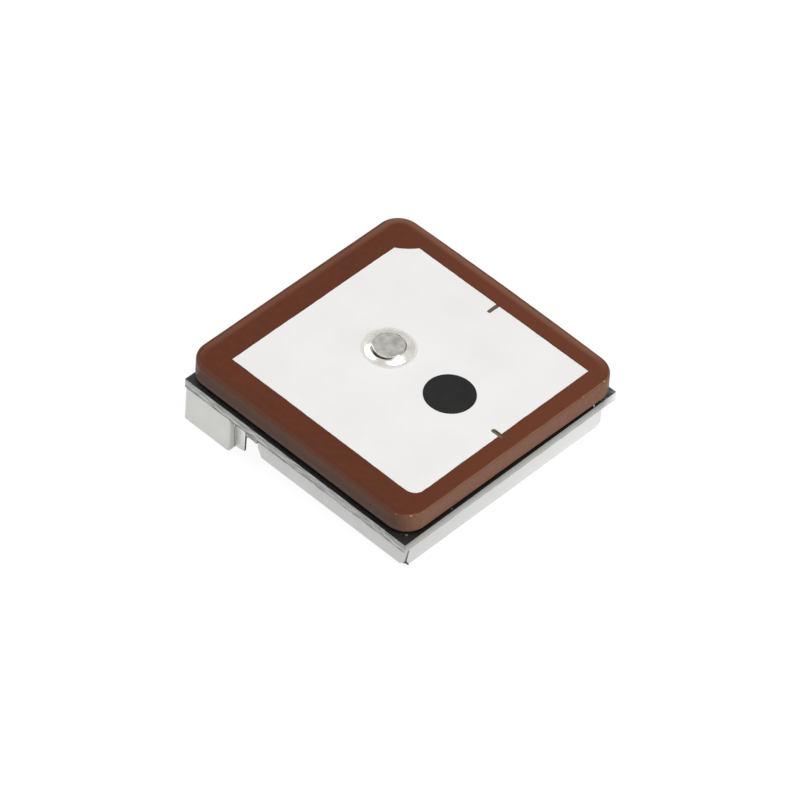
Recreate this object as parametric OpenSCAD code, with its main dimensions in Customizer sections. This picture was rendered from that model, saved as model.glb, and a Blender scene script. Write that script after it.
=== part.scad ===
// Satellite positioning module: a ceramic patch antenna taped to a small circuit board.
// A folded tin-plated can covers the receiver under the board, and a side-entry wire
// connector sits under one corner. Antenna face up, mouth of the connector towards -X.
// Millimetres. The origin is under the middle, level with the connector's underside.

/* [Ceramic patch] */
// Side of the square ceramic block
ceramic_side = 25; // [23:0.5:26]
// Thickness of the ceramic block
ceramic_t = 2.0; // [1.6:0.1:4]
// Radius of its upright corners
ceramic_corner_r = 2.05; // [1:0.05:3]
// Rounding along its top edge
ceramic_top_round = 0.3; // [0.1:0.05:0.5]
// Rounding along its bottom edge
ceramic_bottom_round = 0.15; // [0.05:0.05:0.4]
// How far the block was glued off the board's middle, along X
patch_shift_x = -0.36; // [-0.8:0.01:0.8]
// How far the block was glued off the board's middle, along Y
patch_shift_y = 0.46; // [-0.8:0.01:0.8]

/* [Silver layers] */
// Thickness of the fired silver, face and underside alike
silver_t = 0.04; // [0.02:0.01:0.08]
// Bare ceramic left beside the face layer, -X side
margin_left = 2.91; // [1.5:0.01:3.5]
// Bare ceramic left beside the face layer, +X side
margin_right = 1.59; // [1:0.01:3.5]
// Bare ceramic left beside the face layer, -Y side
margin_front = 2.47; // [1:0.01:3.5]
// Bare ceramic left beside the face layer, +Y side
margin_back = 2.21; // [1:0.01:3.5]
// Length that the trimmed corner takes off each edge
trim_cut = 1.47; // [0.5:0.01:2.5]
// Radius of the hollow that the trimming tool left
trim_bow_r = 5.4; // [3:0.1:12]
// Radius of the rounded corner opposite the trimmed one
face_round = 1.0; // [0.3:0.05:2]
// Width of the narrow tuning notch, on the +Y edge
notch_narrow_w = 0.28; // [0.15:0.01:0.6]
// Length of the narrow tuning notch
notch_narrow_l = 1.05; // [0.3:0.05:2]
// Place of the narrow notch along X, from the layer's middle
notch_narrow_at = 0.15; // [-5:0.05:5]
// Width of the wide tuning notch, on the +X edge
notch_wide_w = 0.38; // [0.2:0.01:0.8]
// Length of the wide tuning notch
notch_wide_l = 0.73; // [0.3:0.01:2]
// Place of the wide notch along Y, from the layer's middle
notch_wide_at = -0.33; // [-5:0.01:5]
// How far the wide notch runs on into the bare ceramic
notch_overrun = 0.46; // [0.2:0.01:0.8]
// Depth of that run in the ceramic
notch_depth = 0.1; // [0.05:0.01:0.3]
// Bare rim around the underside layer
ground_margin = 0.6; // [0.3:0.1:1.5]
// Diameter of the plain printed dot on the face
ink_dot_d = 4.4; // [1:0.1:6]
// Place of the printed dot along X, from the layer's middle
ink_dot_x = 4.4; // [3.5:0.1:6]
// Place of the printed dot along Y, from the layer's middle
ink_dot_y = 0; // [-6:0.1:6]

/* [Antenna feed] */
// Place of the feed along X, from the ceramic's middle
feed_x = -1.85; // [-2.2:0.01:0]
// Place of the feed along Y, from the ceramic's middle
feed_y = 0.21; // [-1.5:0.01:1.5]
// Diameter of the pin
pin_d = 0.9; // [0.6:0.1:1.2]
// Clearance around the pin in its holes
pin_clear = 0.05; // [0.03:0.01:0.15]
// Diameter of the pin's flat head
pin_head_d = 2.85; // [2:0.05:3.4]
// Height of the head above the silver
pin_head_h = 0.41; // [0.25:0.01:0.6]
// Length of the pin below the board
pin_below = 0.7; // [0.4:0.1:1]
// Diameter of the solder around the head
solder_d = 4.6; // [3.8:0.1:5.4]
// Height of the solder on the side of the head
solder_h = 0.37; // [0.15:0.01:0.5]
// Radius of the solder's bulging flank
solder_bow_r = 1.25; // [1.25:0.05:3]
// Diameter of the solder under the board
joint_d = 2; // [1.4:0.1:2.6]

/* [Circuit board] */
// Board size along X
board_x = 24.84; // [24.4:0.02:27]
// Board size along Y
board_y = 24.84; // [24.4:0.02:27]
// Board thickness
board_t = 0.9; // [0.6:0.01:1.6]
// Thickness of the tape between board and antenna
tape_t = 0.11; // [0.1:0.01:0.5]
// How far the tape stays back from the ceramic's edge
tape_margin = 1.6; // [1.2:0.1:3]
// Thickness of the tinned pads
pad_t = 0.04; // [0.02:0.01:0.08]

/* [Shield can] */
// Height of the can below the board
can_h = 2.29; // [1.9:0.01:2.6]
// Sheet thickness
sheet_t = 0.15; // [0.1:0.01:0.25]
// Outer radius of the folds
fold_r = 0.35; // [0.3:0.05:0.7]
// Gap of the slits at the corners
slit = 0.15; // [0.08:0.01:0.25]
// Height of the slanting wall ends towards the board's free corners, above the fold
relief_outer = 0.15; // [0:0.01:0.6]
// Height of the slanting ends that butt behind a neighbour, above the fold
relief_butt = 0.43; // [0:0.01:0.6]
// Height of the slanting wall ends beside the connector, above the fold
relief_inner = 0.75; // [0.1:0.05:0.9]
// Length of the slanting ends that run on to a corner
slant_run = 0.5; // [0.3:0.02:0.8]
// Length of the slanting ends that butt behind a neighbour
slant_butt = 0.34; // [0.1:0.02:0.6]
// Height of the -Y wall's slanting end at the front seam, above the fold
relief_seam = 0.42; // [0:0.01:0.6]
// How far the front seam leans, from the slanting ends up to the board
seam_lean = 0.28; // [0:0.02:0.4]
// How far the -Y wall runs past the +X wall at the top of the front seam
seam_past = 0.18; // [0:0.02:0.3]
// Gap of the front seam at its foot
seam_gap = 0.03; // [0.02:0.01:0.15]
// Rounding of the butting walls' free corners
wall_round = 0.3; // [0.1:0.05:0.5]
// Room between the can's -X wall and the feed's joint under the board
feed_room = 1.15; // [0.6:0.05:1.3]
// Distance of the can from the board's +X edge
can_inset_x = 0.18; // [0:0.02:0.6]
// Distance of the can from the board's -Y edge
can_inset_y = 0.4; // [0.1:0.02:0.8]
// Distance of the can from the board's +Y edge
can_inset_back = 1.45; // [0.5:0.05:2]

/* [Wire connector] */
// Number of contacts
contact_count = 6; // [4:1:7]
// Distance between contacts
contact_pitch = 1.25; // [1.0:0.25:1.25]
// Depth of the housing along X
housing_x = 5.15; // [4.9:0.05:5.4]
// Height of the housing below the board
housing_h = 3.6; // [3.4:0.01:4.2]
// Distance from the end face to the first contact
housing_end = 2.3; // [2.2:0.05:2.8]
// Distance of the mouth from the board's edge
mouth_inset = 0.1; // [0:0.02:0.4]
// Depth of the mating mouth
mouth_depth = 3.7; // [3.2:0.05:3.8]
// Height of the mating mouth
mouth_h = 2.2; // [1.8:0.05:2.3]
// Room in the mouth beyond the outer contacts
mouth_side = 1.2; // [0.8:0.05:1.2]
// Wall between the mouth and the underside
lower_wall = 0.62; // [0.5:0.01:0.8]
// Width of the two key slots in that wall
key_w = 0.9; // [0.5:0.05:1.2]
// Length of the key slots
key_l = 2.2; // [1:0.1:3]
// Radius of the housing's rear upright corners
housing_rear_round = 0.2; // [0.1:0.05:0.6]
// Radius of the housing's upright corners at the mouth
housing_mouth_round = 0.2; // [0.1:0.05:0.4]
// Width of a contact
contact_w = 0.4; // [0.3:0.02:0.5]
// Thickness of a contact
contact_t = 0.25; // [0.15:0.01:0.35]
// Reach of a contact into the mouth
contact_reach = 2.7; // [2:0.1:3]
// Length of a contact's foot
foot_l = 0.8; // [0.5:0.05:1]
// Inside radius of the contact bends
contact_bend = 0.12; // [0.08:0.01:0.2]
// Clearance around the pressed-in metal
press_clear = 0.02; // [0.01:0.01:0.05]
// Thickness of the fixing tabs
tab_t = 0.2; // [0.12:0.01:0.25]
// How far the tabs stand out behind the housing
tab_out = 0.9; // [0.6:0.05:1.05]
// Distance of the tabs from the housing's end faces
tab_inset = 0.85; // [0.7:0.05:1]
// Radius of the tabs' bow
tab_bow_r = 4.5; // [1.8:0.1:6]
// Depth of the tabs' tongues in the housing
tab_root = 0.9; // [0.5:0.05:1.1]

/* [Receiver parts] */
// Side of the receiver chip
chip_side = 7; // [5:0.1:8]
// Height of the receiver chip
chip_h = 0.9; // [0.6:0.05:1.1]
// Number of small capacitors beside the receiver chip
cap_count = 6; // [2:1:6]
// Length of a small capacitor
cap_l = 1.0; // [0.6:0.1:1.2]
// Length of a supply capacitor
bulk_l = 2.0; // [1.6:0.1:2.2]
// Length of the supply bead beside the connector, where the room allows it
bead_l = 1.2; // [0.8:0.05:1.7]
// Height of the supply bead
bead_h = 0.8; // [0.5:0.05:1]

/* [Hidden] */
$fn = 64;
over = 1;

// Overall limits of board and ceramic, from which the middle follows
x_lo = min(-board_x / 2, patch_shift_x - ceramic_side / 2);
x_hi = max(board_x / 2, patch_shift_x + ceramic_side / 2);
y_lo = min(-board_y / 2, patch_shift_y - ceramic_side / 2);
y_hi = max(board_y / 2, patch_shift_y + ceramic_side / 2);
board_cx = -(x_lo + x_hi) / 2;
board_cy = -(y_lo + y_hi) / 2;
patch_cx = board_cx + patch_shift_x;
patch_cy = board_cy + patch_shift_y;
board_left = board_cx - board_x / 2;
board_right = board_cx + board_x / 2;
board_front = board_cy - board_y / 2;

// Levels, from the underside up
z_board = housing_h;
z_pads = z_board - pad_t;
z_tape = z_board + board_t;
z_ground = z_tape + tape_t;
z_ceramic = z_ground + silver_t;
z_face = z_ceramic + ceramic_t;
z_silver = z_face + silver_t;
z_head = z_silver + pin_head_h;

// Face layer of the antenna
face_x = ceramic_side - margin_left - margin_right;
face_y = ceramic_side - margin_front - margin_back;
face_cx = patch_cx + (margin_left - margin_right) / 2;
face_cy = patch_cy + (margin_front - margin_back) / 2;
trim_chord = trim_cut * sqrt(2);
trim_reach = sqrt(trim_bow_r * trim_bow_r - trim_chord * trim_chord / 4);
trim_off = (trim_reach - trim_cut / sqrt(2)) / sqrt(2);
ink_t = 0.015;

// Feed
feed_cx = patch_cx + feed_x;
feed_cy = patch_cy + feed_y;
pin_hole_d = pin_d + 2 * pin_clear;
feed_keepout = 1;
feed_clear_d = pin_d + 2 * feed_keepout;
joint_h = 0.55;
joint_neck = 0.12;
head_chamfer = 0.06;

// Can: it covers the board from beside the feed to near the three free edges
can_left = feed_cx - joint_d / 2 - feed_room;
can_right = board_right - can_inset_x;
can_front = board_front + can_inset_y;
can_back = board_front + board_y - can_inset_back;
can_x = can_right - can_left;
can_y = can_back - can_front;
can_cx = (can_left + can_right) / 2;
can_cy = (can_front + can_back) / 2;
z_can = z_board - can_h;
fold_run = 2 * sheet_t;
flat_x = can_x - 2 * fold_r;
flat_y = can_y - 2 * fold_r;
wall_rise = can_h - fold_r;
butt_back = sheet_t + slit;

// Connector
housing_left = board_left + mouth_inset;
housing_rear = housing_left + housing_x;
contact_span = (contact_count - 1) * contact_pitch;
housing_y = contact_span + 2 * housing_end;
housing_front = board_front;
housing_cy = housing_front + housing_y / 2;
mouth_y = contact_span + 2 * mouth_side;
z_contact = lower_wall + mouth_h / 2;
contact_tip = housing_left + mouth_depth - contact_reach;
tail_gap = 0.3;
bend_mid = contact_bend + contact_t / 2;
foot_start = housing_rear + tail_gap;
tab_bottom = 0.04;
tab_foot = 0.6;
tab_end = housing_rear + tab_out;
tongue_lo = 0.9;
tongue_h = 1.6;
key_at = contact_span / 4;
pad_rim = 0.1;

// Receiver parts: length, width, height
filter_box = [1.4, 1.1, 0.6];
amplifier_box = [1.5, 1.0, 0.55];
oscillator_box = [2.5, 2.0, 0.8];
crystal_box = [3.2, 1.5, 0.75];
memory_box = [4, 3, 0.6];
regulator_box = [2.9, 1.6, 1.1];
cap_box = [cap_l, 0.5, 0.5];
bulk_box = [bulk_l, 1.25, 1.0];
bead_gap = 0.06;
bead_box = [min(bead_l, can_left - tab_end - 2 * bead_gap), 0.8, bead_h];
lid_step = 0.15;
cap_skin = 0.03;
lead_box = [0.4, 0.55, 0.12];
lead_pitch = 0.95;

// Receiver layout under the can, from the can's middle: memory, chip and radio row from front to back
chip_column = 2.6;
front_gap = 0.85;
chip_gap = 0.9;
radio_gap = 3;
memory_at = [chip_column, front_gap + (memory_box[1] - can_y) / 2];
chip_at = [chip_column, memory_at[1] + chip_gap + (memory_box[1] + chip_side) / 2];
chip_end = chip_at[1] + chip_side / 2;
radio_row = chip_end + radio_gap + oscillator_box[1] / 2;
oscillator_at = [chip_column, radio_row];
filter_at = [-1.2, radio_row];
amplifier_at = [-3.9, radio_row];
inductor_at = [-2.6, radio_row + 1.8];
crystal_at = [5.4, radio_row + 2.8];
cap_first = [-3.4, chip_end - 0.9];
cap_step = 1.5;

// Supply parts beside the connector, from the can's -X wall
regulator_at = [-4.2, 3.6];
bulk_at = [-4.2, 7.2];
bulk_step = 2.4;
bead_inset = 0.3;
bead_cx = can_left - bead_gap - bead_box[0] / 2;

CAPS = [for (i = [1 : cap_count]) str("chip_capacitor_", i)];
CONTACTS = [for (i = [1 : contact_count]) str("connector_contact_", i)];

// Draw one node by name, or all of them

// What a corner loses when it is rounded: the corner is at [x, y]
module corner_waste(x, y, r) {
    translate([x - r, y - r])
    difference() {
        square(r + over);
        circle(r);
    }
}

// Section through the ceramic's rim, from the middle of a corner outwards
module rim_section() {
    difference() {
        square([ceramic_corner_r, ceramic_t]);
        corner_waste(ceramic_corner_r, ceramic_t, ceramic_top_round);
        mirror([0, 1])
        corner_waste(ceramic_corner_r, 0, ceramic_bottom_round);
    }
}

// Square block with round corners and softened edges
module pressed_block() {
    core = ceramic_side - 2 * ceramic_corner_r;
    translate([-core / 2, -core / 2, 0])
    cube([core, core, ceramic_t]);
    for (turn = [0 : 90 : 270])
    rotate(turn) {
        translate([core / 2, core / 2, 0])
        rotate([90, 0, 0])
        linear_extrude(core)
        rim_section();
        translate([core / 2, core / 2, 0])
        rotate_extrude(angle = 90)
        rim_section();
    }
}

module ceramic_substrate() {
    run = notch_wide_l + notch_overrun;
    color("#643a2b")
    difference() {
        translate([patch_cx, patch_cy, z_ceramic])
        pressed_block();
        translate([feed_cx, feed_cy, z_ceramic - over])
        cylinder(d = pin_hole_d, h = ceramic_t + 2 * over);
        translate([face_cx + face_x / 2 - notch_wide_l, face_cy + notch_wide_at, z_face - notch_depth]) {
            translate([notch_wide_w / 2, -notch_wide_w / 2, 0])
            cube([run - notch_wide_w, notch_wide_w, over]);
            for (along = [notch_wide_w / 2, run - notch_wide_w / 2])
            translate([along, 0, 0])
            cylinder(d = notch_wide_w, h = over);
        }
    }
}

// Outline of the silver on the face, trimmed and notched to tune the antenna
module face_outline() {
    difference() {
        square([face_x, face_y], center = true);
        // Corner trimmed by hand with a round tool
        translate([-face_x / 2 - trim_off, face_y / 2 + trim_off])
        circle(trim_bow_r);
        mirror([0, 1])
        corner_waste(face_x / 2, face_y / 2, face_round);
        translate([notch_narrow_at - notch_narrow_w / 2, face_y / 2 - notch_narrow_l])
        square([notch_narrow_w, notch_narrow_l + over]);
        translate([face_x / 2 - notch_wide_l + notch_wide_w / 2, notch_wide_at]) {
            circle(d = notch_wide_w);
            translate([0, -notch_wide_w / 2])
            square([notch_wide_l + over, notch_wide_w]);
        }
        translate([feed_cx - face_cx, feed_cy - face_cy])
        circle(d = pin_hole_d);
    }
}

module top_electrode() {
    color("#eeedeb")
    translate([face_cx, face_cy, z_face])
    linear_extrude(silver_t)
    face_outline();
}

module ground_electrode() {
    side = ceramic_side - 2 * (ground_margin + ceramic_bottom_round);
    soft = ceramic_corner_r - ground_margin;
    color("#d8d7d3")
    translate([patch_cx, patch_cy, z_ground])
    linear_extrude(silver_t)
    difference() {
        square(side, center = true);
        for (turn = [0 : 90 : 270])
        rotate(turn)
        corner_waste(side / 2, side / 2, soft);
        translate([feed_x, feed_y])
        circle(d = feed_clear_d);
    }
}

module adhesive_pad() {
    side = ceramic_side - 2 * tape_margin;
    color("#e6e2d6")
    translate([patch_cx, patch_cy, z_tape])
    linear_extrude(tape_t)
    difference() {
        square(side, center = true);
        translate([feed_x, feed_y])
        circle(d = feed_clear_d);
    }
}

module ink_dot() {
    color("#171717")
    translate([face_cx + ink_dot_x, face_cy + ink_dot_y, z_silver])
    cylinder(d = ink_dot_d, h = ink_t);
}

module feed_pin() {
    color("#bdbbb5")
    translate([feed_cx, feed_cy, 0])
    rotate_extrude()
    polygon([
        [0, z_board - pin_below],
        [pin_d / 2, z_board - pin_below],
        [pin_d / 2, z_silver],
        [pin_head_d / 2, z_silver],
        [pin_head_d / 2, z_head - head_chamfer],
        [pin_head_d / 2 - head_chamfer, z_head],
        [0, z_head]
    ]);
}

// Solder heaped around the head, with a bulging flank
module feed_solder_top() {
    inner = pin_head_d / 2;
    outer = solder_d / 2;
    chord = norm([outer - inner, solder_h]);
    lift = sqrt(solder_bow_r * solder_bow_r - chord * chord / 4);
    color("#c9c8c4")
    translate([feed_cx, feed_cy, z_silver])
    rotate_extrude()
    intersection() {
        translate([inner, 0])
        square([solder_d, solder_d]);
        translate([
            (inner + outer) / 2 - solder_h / chord * lift,
            solder_h / 2 - (outer - inner) / chord * lift
        ])
        circle(solder_bow_r);
    }
}

module feed_solder_bottom() {
    color("#c9c8c4")
    translate([feed_cx, feed_cy, z_board])
    rotate_extrude()
    polygon([
        [pin_d / 2, 0],
        [joint_d / 2, 0],
        [joint_d / 2 - joint_neck, -pad_t],
        [pin_d / 2 + joint_neck, -joint_h],
        [pin_d / 2, -joint_h]
    ]);
}

module circuit_board() {
    color("#1d1f1f")
    difference() {
        translate([board_left, board_front, z_board])
        cube([board_x, board_y, board_t]);
        translate([feed_cx, feed_cy, z_board - over])
        cylinder(d = pin_hole_d, h = board_t + 2 * over);
    }
}

// Tinned copper under the connector's feet and tabs
module solder_pads() {
    pad_w = contact_w + 2 * pad_rim;
    pad_l = foot_l + contact_bend + contact_t;
    color("#c4c2bb") {
        for (i = [1 : contact_count])
        translate([foot_start, contact_y(i) - pad_w / 2, z_pads])
        cube([pad_l, pad_w, pad_t]);
        for (end = [0, 1])
        at_tab(end)
        translate([housing_rear + pad_rim, tab_inset, z_pads])
        cube([tab_out - pad_rim, tab_t + tab_foot + pad_rim, pad_t]);
    }
}

// What lies inside a fold of that radius: from the flat sheet to past the wall's free edge
module fold_inside(r, rise) {
    difference() {
        translate([-fold_run, -r])
        square([fold_run + r, rise]);
        mirror([0, 1])
        corner_waste(r, r, r);
    }
}

// Sheet in section: a short flat run, a quarter fold, then straight up to the board
module wall_section() {
    difference() {
        fold_inside(fold_r, can_h);
        fold_inside(fold_r - sheet_t, can_h);
    }
}

// How far a wall reaches from its middle before its end is cut
function wall_reach(half, end) = half - end[0] + max(0, -end[3]);

// Cuts one end of a wall, short at the fold and full length above the slant. The end is
// [how far it stays back from the corner, length of its slant, height of its slant, its lean].
module wall_end(half, end) {
    open = half - end[0];
    past = wall_reach(half, end) + over;
    slant_top = [open - end[3], end[2]];
    lean_share = end[3] / (wall_rise - end[2]);
    folded = min(slant_top[0] - end[1], half - fold_r);
    upper = end[3] == 0
        ? [[past, end[2]]]
        : [[open + lean_share * sheet_t, wall_rise + sheet_t], [past, wall_rise + sheet_t]];
    translate([-over, 0, 0])
    rotate([90, 0, 90])
    linear_extrude(fold_r + 2 * over) {
        polygon(concat(
            [[folded, -fold_r - over], [folded, -fold_r / 2], slant_top],
            upper,
            [[past, -fold_r - over]]
        ));
        if (end[0] > 0)
        corner_waste(open - lean_share * wall_round, wall_rise, wall_round);
    }
}

// One folded-up wall, seen from the fold's middle: +X is outwards, Y runs along it
module folded_wall(half, low, high) {
    difference() {
        translate([0, wall_reach(half, high), 0])
        rotate([90, 0, 0])
        linear_extrude(wall_reach(half, low) + wall_reach(half, high))
        wall_section();
        wall_end(half, high);
        mirror([0, 1, 0])
        wall_end(half, low);
    }
}

module shield_can() {
    outer = [0, slant_run, relief_outer, 0];
    inner = [0, slant_run, relief_inner, 0];
    butt = [butt_back, slant_butt, relief_butt, 0];
    seam_front = [-seam_past, slant_run, relief_seam, seam_lean];
    seam_side = [sheet_t + seam_gap + seam_lean, slant_butt, relief_butt, -seam_lean];
    color("#c3c3bf")
    translate([can_cx, can_cy, z_can]) {
        translate([-flat_x / 2, -flat_y / 2, 0])
        cube([flat_x, flat_y, sheet_t]);
        translate([0, 0, fold_r]) {
            translate([flat_x / 2, 0, 0])
            folded_wall(can_y / 2, seam_side, outer);
            translate([-flat_x / 2, 0, 0])
            rotate(180)
            folded_wall(can_y / 2, butt, butt);
            translate([0, -flat_y / 2, 0])
            rotate(-90)
            folded_wall(can_x / 2, inner, seam_front);
            translate([0, flat_y / 2, 0])
            rotate(90)
            folded_wall(can_x / 2, butt, inner);
        }
    }
}

function contact_y(i) = housing_cy + (i - 1) * contact_pitch - contact_span / 2;

// Puts a tab's parts at either end of the housing, the second one mirrored
module at_tab(end) {
    translate([0, housing_front + end * housing_y, 0])
    mirror([0, end, 0])
    children();
}

module housing_outline() {
    difference() {
        square([housing_x, housing_y]);
        corner_waste(housing_x, housing_y, housing_rear_round);
        translate([0, housing_y])
        mirror([0, 1])
        corner_waste(housing_x, housing_y, housing_rear_round);
        translate([housing_x, 0])
        mirror([1, 0])
        corner_waste(housing_x, housing_y, housing_mouth_round);
        translate([housing_x, housing_y])
        rotate(180)
        corner_waste(housing_x, housing_y, housing_mouth_round);
    }
}

module connector_housing() {
    color("#d3d3d0")
    difference() {
        translate([housing_left, housing_front, 0])
        linear_extrude(housing_h)
        housing_outline();
        // Mating mouth
        translate([housing_left - over, housing_cy - mouth_y / 2, lower_wall])
        cube([mouth_depth + over, mouth_y, mouth_h]);
        // Key slots in the lower wall
        for (side = [-1, 1])
        translate([housing_left - over, housing_cy + side * key_at - key_w / 2, -over])
        cube([key_l + over, key_w, lower_wall + 2 * over]);
        // Passages of the contacts
        for (i = [1 : contact_count])
        translate([housing_left + mouth_depth - over, contact_y(i) - contact_w / 2 - press_clear,
            z_contact - contact_t / 2 - press_clear])
        cube([housing_x, contact_w + 2 * press_clear, contact_t + 2 * press_clear]);
        // Pockets of the tab tongues
        for (end = [0, 1])
        at_tab(end)
        translate([housing_rear - tab_root - press_clear, tab_inset, tongue_lo - press_clear])
        cube([tab_root + over, tab_t, tongue_h + 2 * press_clear]);
    }
}

// Quarter bend of a contact about its own middle, opening to -X and +Y
module contact_corner() {
    intersection() {
        difference() {
            circle(contact_bend + contact_t);
            circle(contact_bend);
        }
        translate([0, -contact_bend - contact_t])
        square(contact_bend + contact_t);
    }
}

// Stamped contact in section: blade in the mouth, riser behind the housing, foot on the pad
module contact_section() {
    riser_x = foot_start + bend_mid;
    riser_lo = z_contact + bend_mid;
    riser_hi = z_pads - contact_t - contact_bend;
    translate([contact_tip, z_contact - contact_t / 2])
    square([foot_start - contact_tip, contact_t]);
    translate([foot_start, riser_lo])
    contact_corner();
    translate([riser_x - contact_t / 2, riser_lo])
    square([contact_t, riser_hi - riser_lo]);
    translate([riser_x + bend_mid, riser_hi])
    rotate(180)
    contact_corner();
    translate([riser_x + bend_mid, z_pads - contact_t])
    square([foot_l - contact_bend, contact_t]);
}

module connector_contact(i) {
    color("#c8b98a")
    translate([0, contact_y(i) + contact_w / 2, 0])
    rotate([90, 0, 0])
    linear_extrude(contact_w)
    contact_section();
}

// Plan of a tab's foot: from the middle of the leaf's sheet inwards
module tab_foot_outline(start) {
    intersection() {
        translate([start, tab_inset + tab_bow_r])
        circle(tab_bow_r - tab_t / 2);
        translate([start, tab_inset])
        square([tab_end - start, tab_t + tab_foot]);
    }
}

// Plan of a tab's bowed leaf
module tab_leaf_outline(start) {
    difference() {
        intersection() {
            translate([start, tab_inset + tab_bow_r])
            circle(tab_bow_r);
            translate([start, 0])
            square([tab_end - start, tab_inset + tab_bow_r]);
        }
        translate([start, tab_inset + tab_bow_r])
        circle(tab_bow_r - tab_t);
    }
}

// Fixing tab: a bowed leaf behind the housing, a coined tongue in it and a foot on the board
module connector_tab(end) {
    start = housing_rear + press_clear;
    color("#c6c6c2")
    at_tab(end) {
        translate([0, 0, tab_bottom])
        linear_extrude(z_pads - tab_bottom)
        tab_leaf_outline(start);
        translate([0, 0, z_pads - tab_t])
        linear_extrude(tab_t)
        tab_foot_outline(start);
        translate([housing_rear - tab_root, tab_inset + press_clear, tongue_lo])
        cube([tab_root + press_clear + tab_t / 2, tab_t - 2 * press_clear, tongue_h]);
    }
}

// Plain moulded package, hung from the board
module package(at, box) {
    translate([at[0] - box[0] / 2, at[1] - box[1] / 2, z_board - box[2]])
    cube(box);
}

// Package with a stepped metal lid
module lidded_package(at, box) {
    translate([at[0] - box[0] / 2, at[1] - box[1] / 2, z_board - box[2] / 2])
    cube([box[0], box[1], box[2] / 2]);
    translate([at[0] - box[0] / 2 + lid_step, at[1] - box[1] / 2 + lid_step, z_board - box[2]])
    cube([box[0] - 2 * lid_step, box[1] - 2 * lid_step, box[2]]);
}

// Chip part: a body between two slightly larger end caps
module end_capped(at, box) {
    cap = box[0] / 4;
    translate([at[0] - (box[0] - cap) / 2, at[1] - box[1] / 2 + cap_skin, z_board - box[2] + cap_skin])
    cube([box[0] - cap, box[1] - 2 * cap_skin, box[2] - 2 * cap_skin]);
    for (end = [-1, 1])
    translate([at[0] + end * (box[0] - cap) / 2 - cap / 2, at[1] - box[1] / 2, z_board - box[2]])
    cube([cap, box[1], box[2]]);
}

function under_can(at) = [can_cx + at[0], can_cy + at[1]];

module gnss_chip() {
    color("#202124")
    package(under_can(chip_at), [chip_side, chip_side, chip_h]);
}

module saw_filter() {
    color("#b9a878")
    lidded_package(under_can(filter_at), filter_box);
}

module low_noise_amplifier() {
    color("#202124")
    package(under_can(amplifier_at), amplifier_box);
}

module tcxo() {
    color("#b9b4a8")
    lidded_package(under_can(oscillator_at), oscillator_box);
}

module rtc_crystal() {
    color("#b9b4a8")
    lidded_package(under_can(crystal_at), crystal_box);
}

module flash_memory() {
    color("#202124")
    package(under_can(memory_at), memory_box);
}

// Supply regulator with five gull-wing leads
module voltage_regulator() {
    at = [can_left + regulator_at[0], can_cy + regulator_at[1]];
    lead_l = regulator_box[1] / 2 + lead_box[1];
    color("#202124") {
        package(at, regulator_box);
        translate([at[0] - lead_box[0] / 2, at[1] - lead_l, z_board - lead_box[2]])
        for (k = [-1, 0, 1])
        translate([k * lead_pitch, 0, 0])
        cube([lead_box[0], lead_l, lead_box[2]]);
        translate([at[0] - lead_box[0] / 2, at[1], z_board - lead_box[2]])
        for (k = [-1, 1])
        translate([k * lead_pitch, 0, 0])
        cube([lead_box[0], lead_l, lead_box[2]]);
    }
}

module supply_bead() {
    color("#55554f")
    end_capped([bead_cx, board_front + bead_inset + bead_box[1] / 2], bead_box);
}

module matching_inductor() {
    color("#9fa3a0")
    end_capped(under_can(inductor_at), cap_box);
}

module supply_capacitor(i) {
    color("#8a6f52")
    end_capped([can_left + bulk_at[0], can_cy + bulk_at[1] + (i - 1) * bulk_step], bulk_box);
}

module chip_capacitor(i) {
    color("#8a6f52")
    end_capped(under_can([cap_first[0], cap_first[1] - (i - 1) * cap_step]), cap_box);
}

ceramic_substrate();
top_electrode();
ground_electrode();
adhesive_pad();
ink_dot();
feed_pin();
feed_solder_top();
feed_solder_bottom();
circuit_board();
solder_pads();
shield_can();
connector_housing();
for (i = [1 : contact_count])
    connector_contact(i);
connector_tab(0);  // connector_tab_1
connector_tab(1);  // connector_tab_2
gnss_chip();
saw_filter();
low_noise_amplifier();
tcxo();
rtc_crystal();
flash_memory();
voltage_regulator();
supply_bead();
matching_inductor();
supply_capacitor(1);  // supply_capacitor_1
supply_capacitor(2);  // supply_capacitor_2
for (i = [1 : cap_count])
    chip_capacitor(i);
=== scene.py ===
"""Dresses a satellite positioning module: finishes, softened edges, solder, edge chips and studio."""

import logging
import math
from dataclasses import dataclass, replace
from enum import Enum
from typing import Callable

import bmesh
import bpy
from mathutils import Matrix, Vector, noise


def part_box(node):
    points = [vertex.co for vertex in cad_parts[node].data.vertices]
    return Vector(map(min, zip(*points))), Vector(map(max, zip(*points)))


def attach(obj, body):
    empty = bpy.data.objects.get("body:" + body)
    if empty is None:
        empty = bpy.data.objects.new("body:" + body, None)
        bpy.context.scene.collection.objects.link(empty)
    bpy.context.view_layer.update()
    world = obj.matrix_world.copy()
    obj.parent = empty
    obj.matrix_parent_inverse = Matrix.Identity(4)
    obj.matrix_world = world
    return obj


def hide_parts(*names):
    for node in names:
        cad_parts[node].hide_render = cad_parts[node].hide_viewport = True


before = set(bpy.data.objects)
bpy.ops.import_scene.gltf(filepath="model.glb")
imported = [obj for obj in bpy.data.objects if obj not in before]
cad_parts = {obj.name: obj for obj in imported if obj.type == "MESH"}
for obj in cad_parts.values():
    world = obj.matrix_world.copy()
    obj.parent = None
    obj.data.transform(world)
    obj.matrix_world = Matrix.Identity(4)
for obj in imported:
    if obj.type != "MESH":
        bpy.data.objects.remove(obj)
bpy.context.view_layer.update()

Colour = tuple[int, int, int]
Span = tuple[float, float]
Triple = tuple[float, float, float]
Socket = bpy.types.NodeSocket

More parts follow.
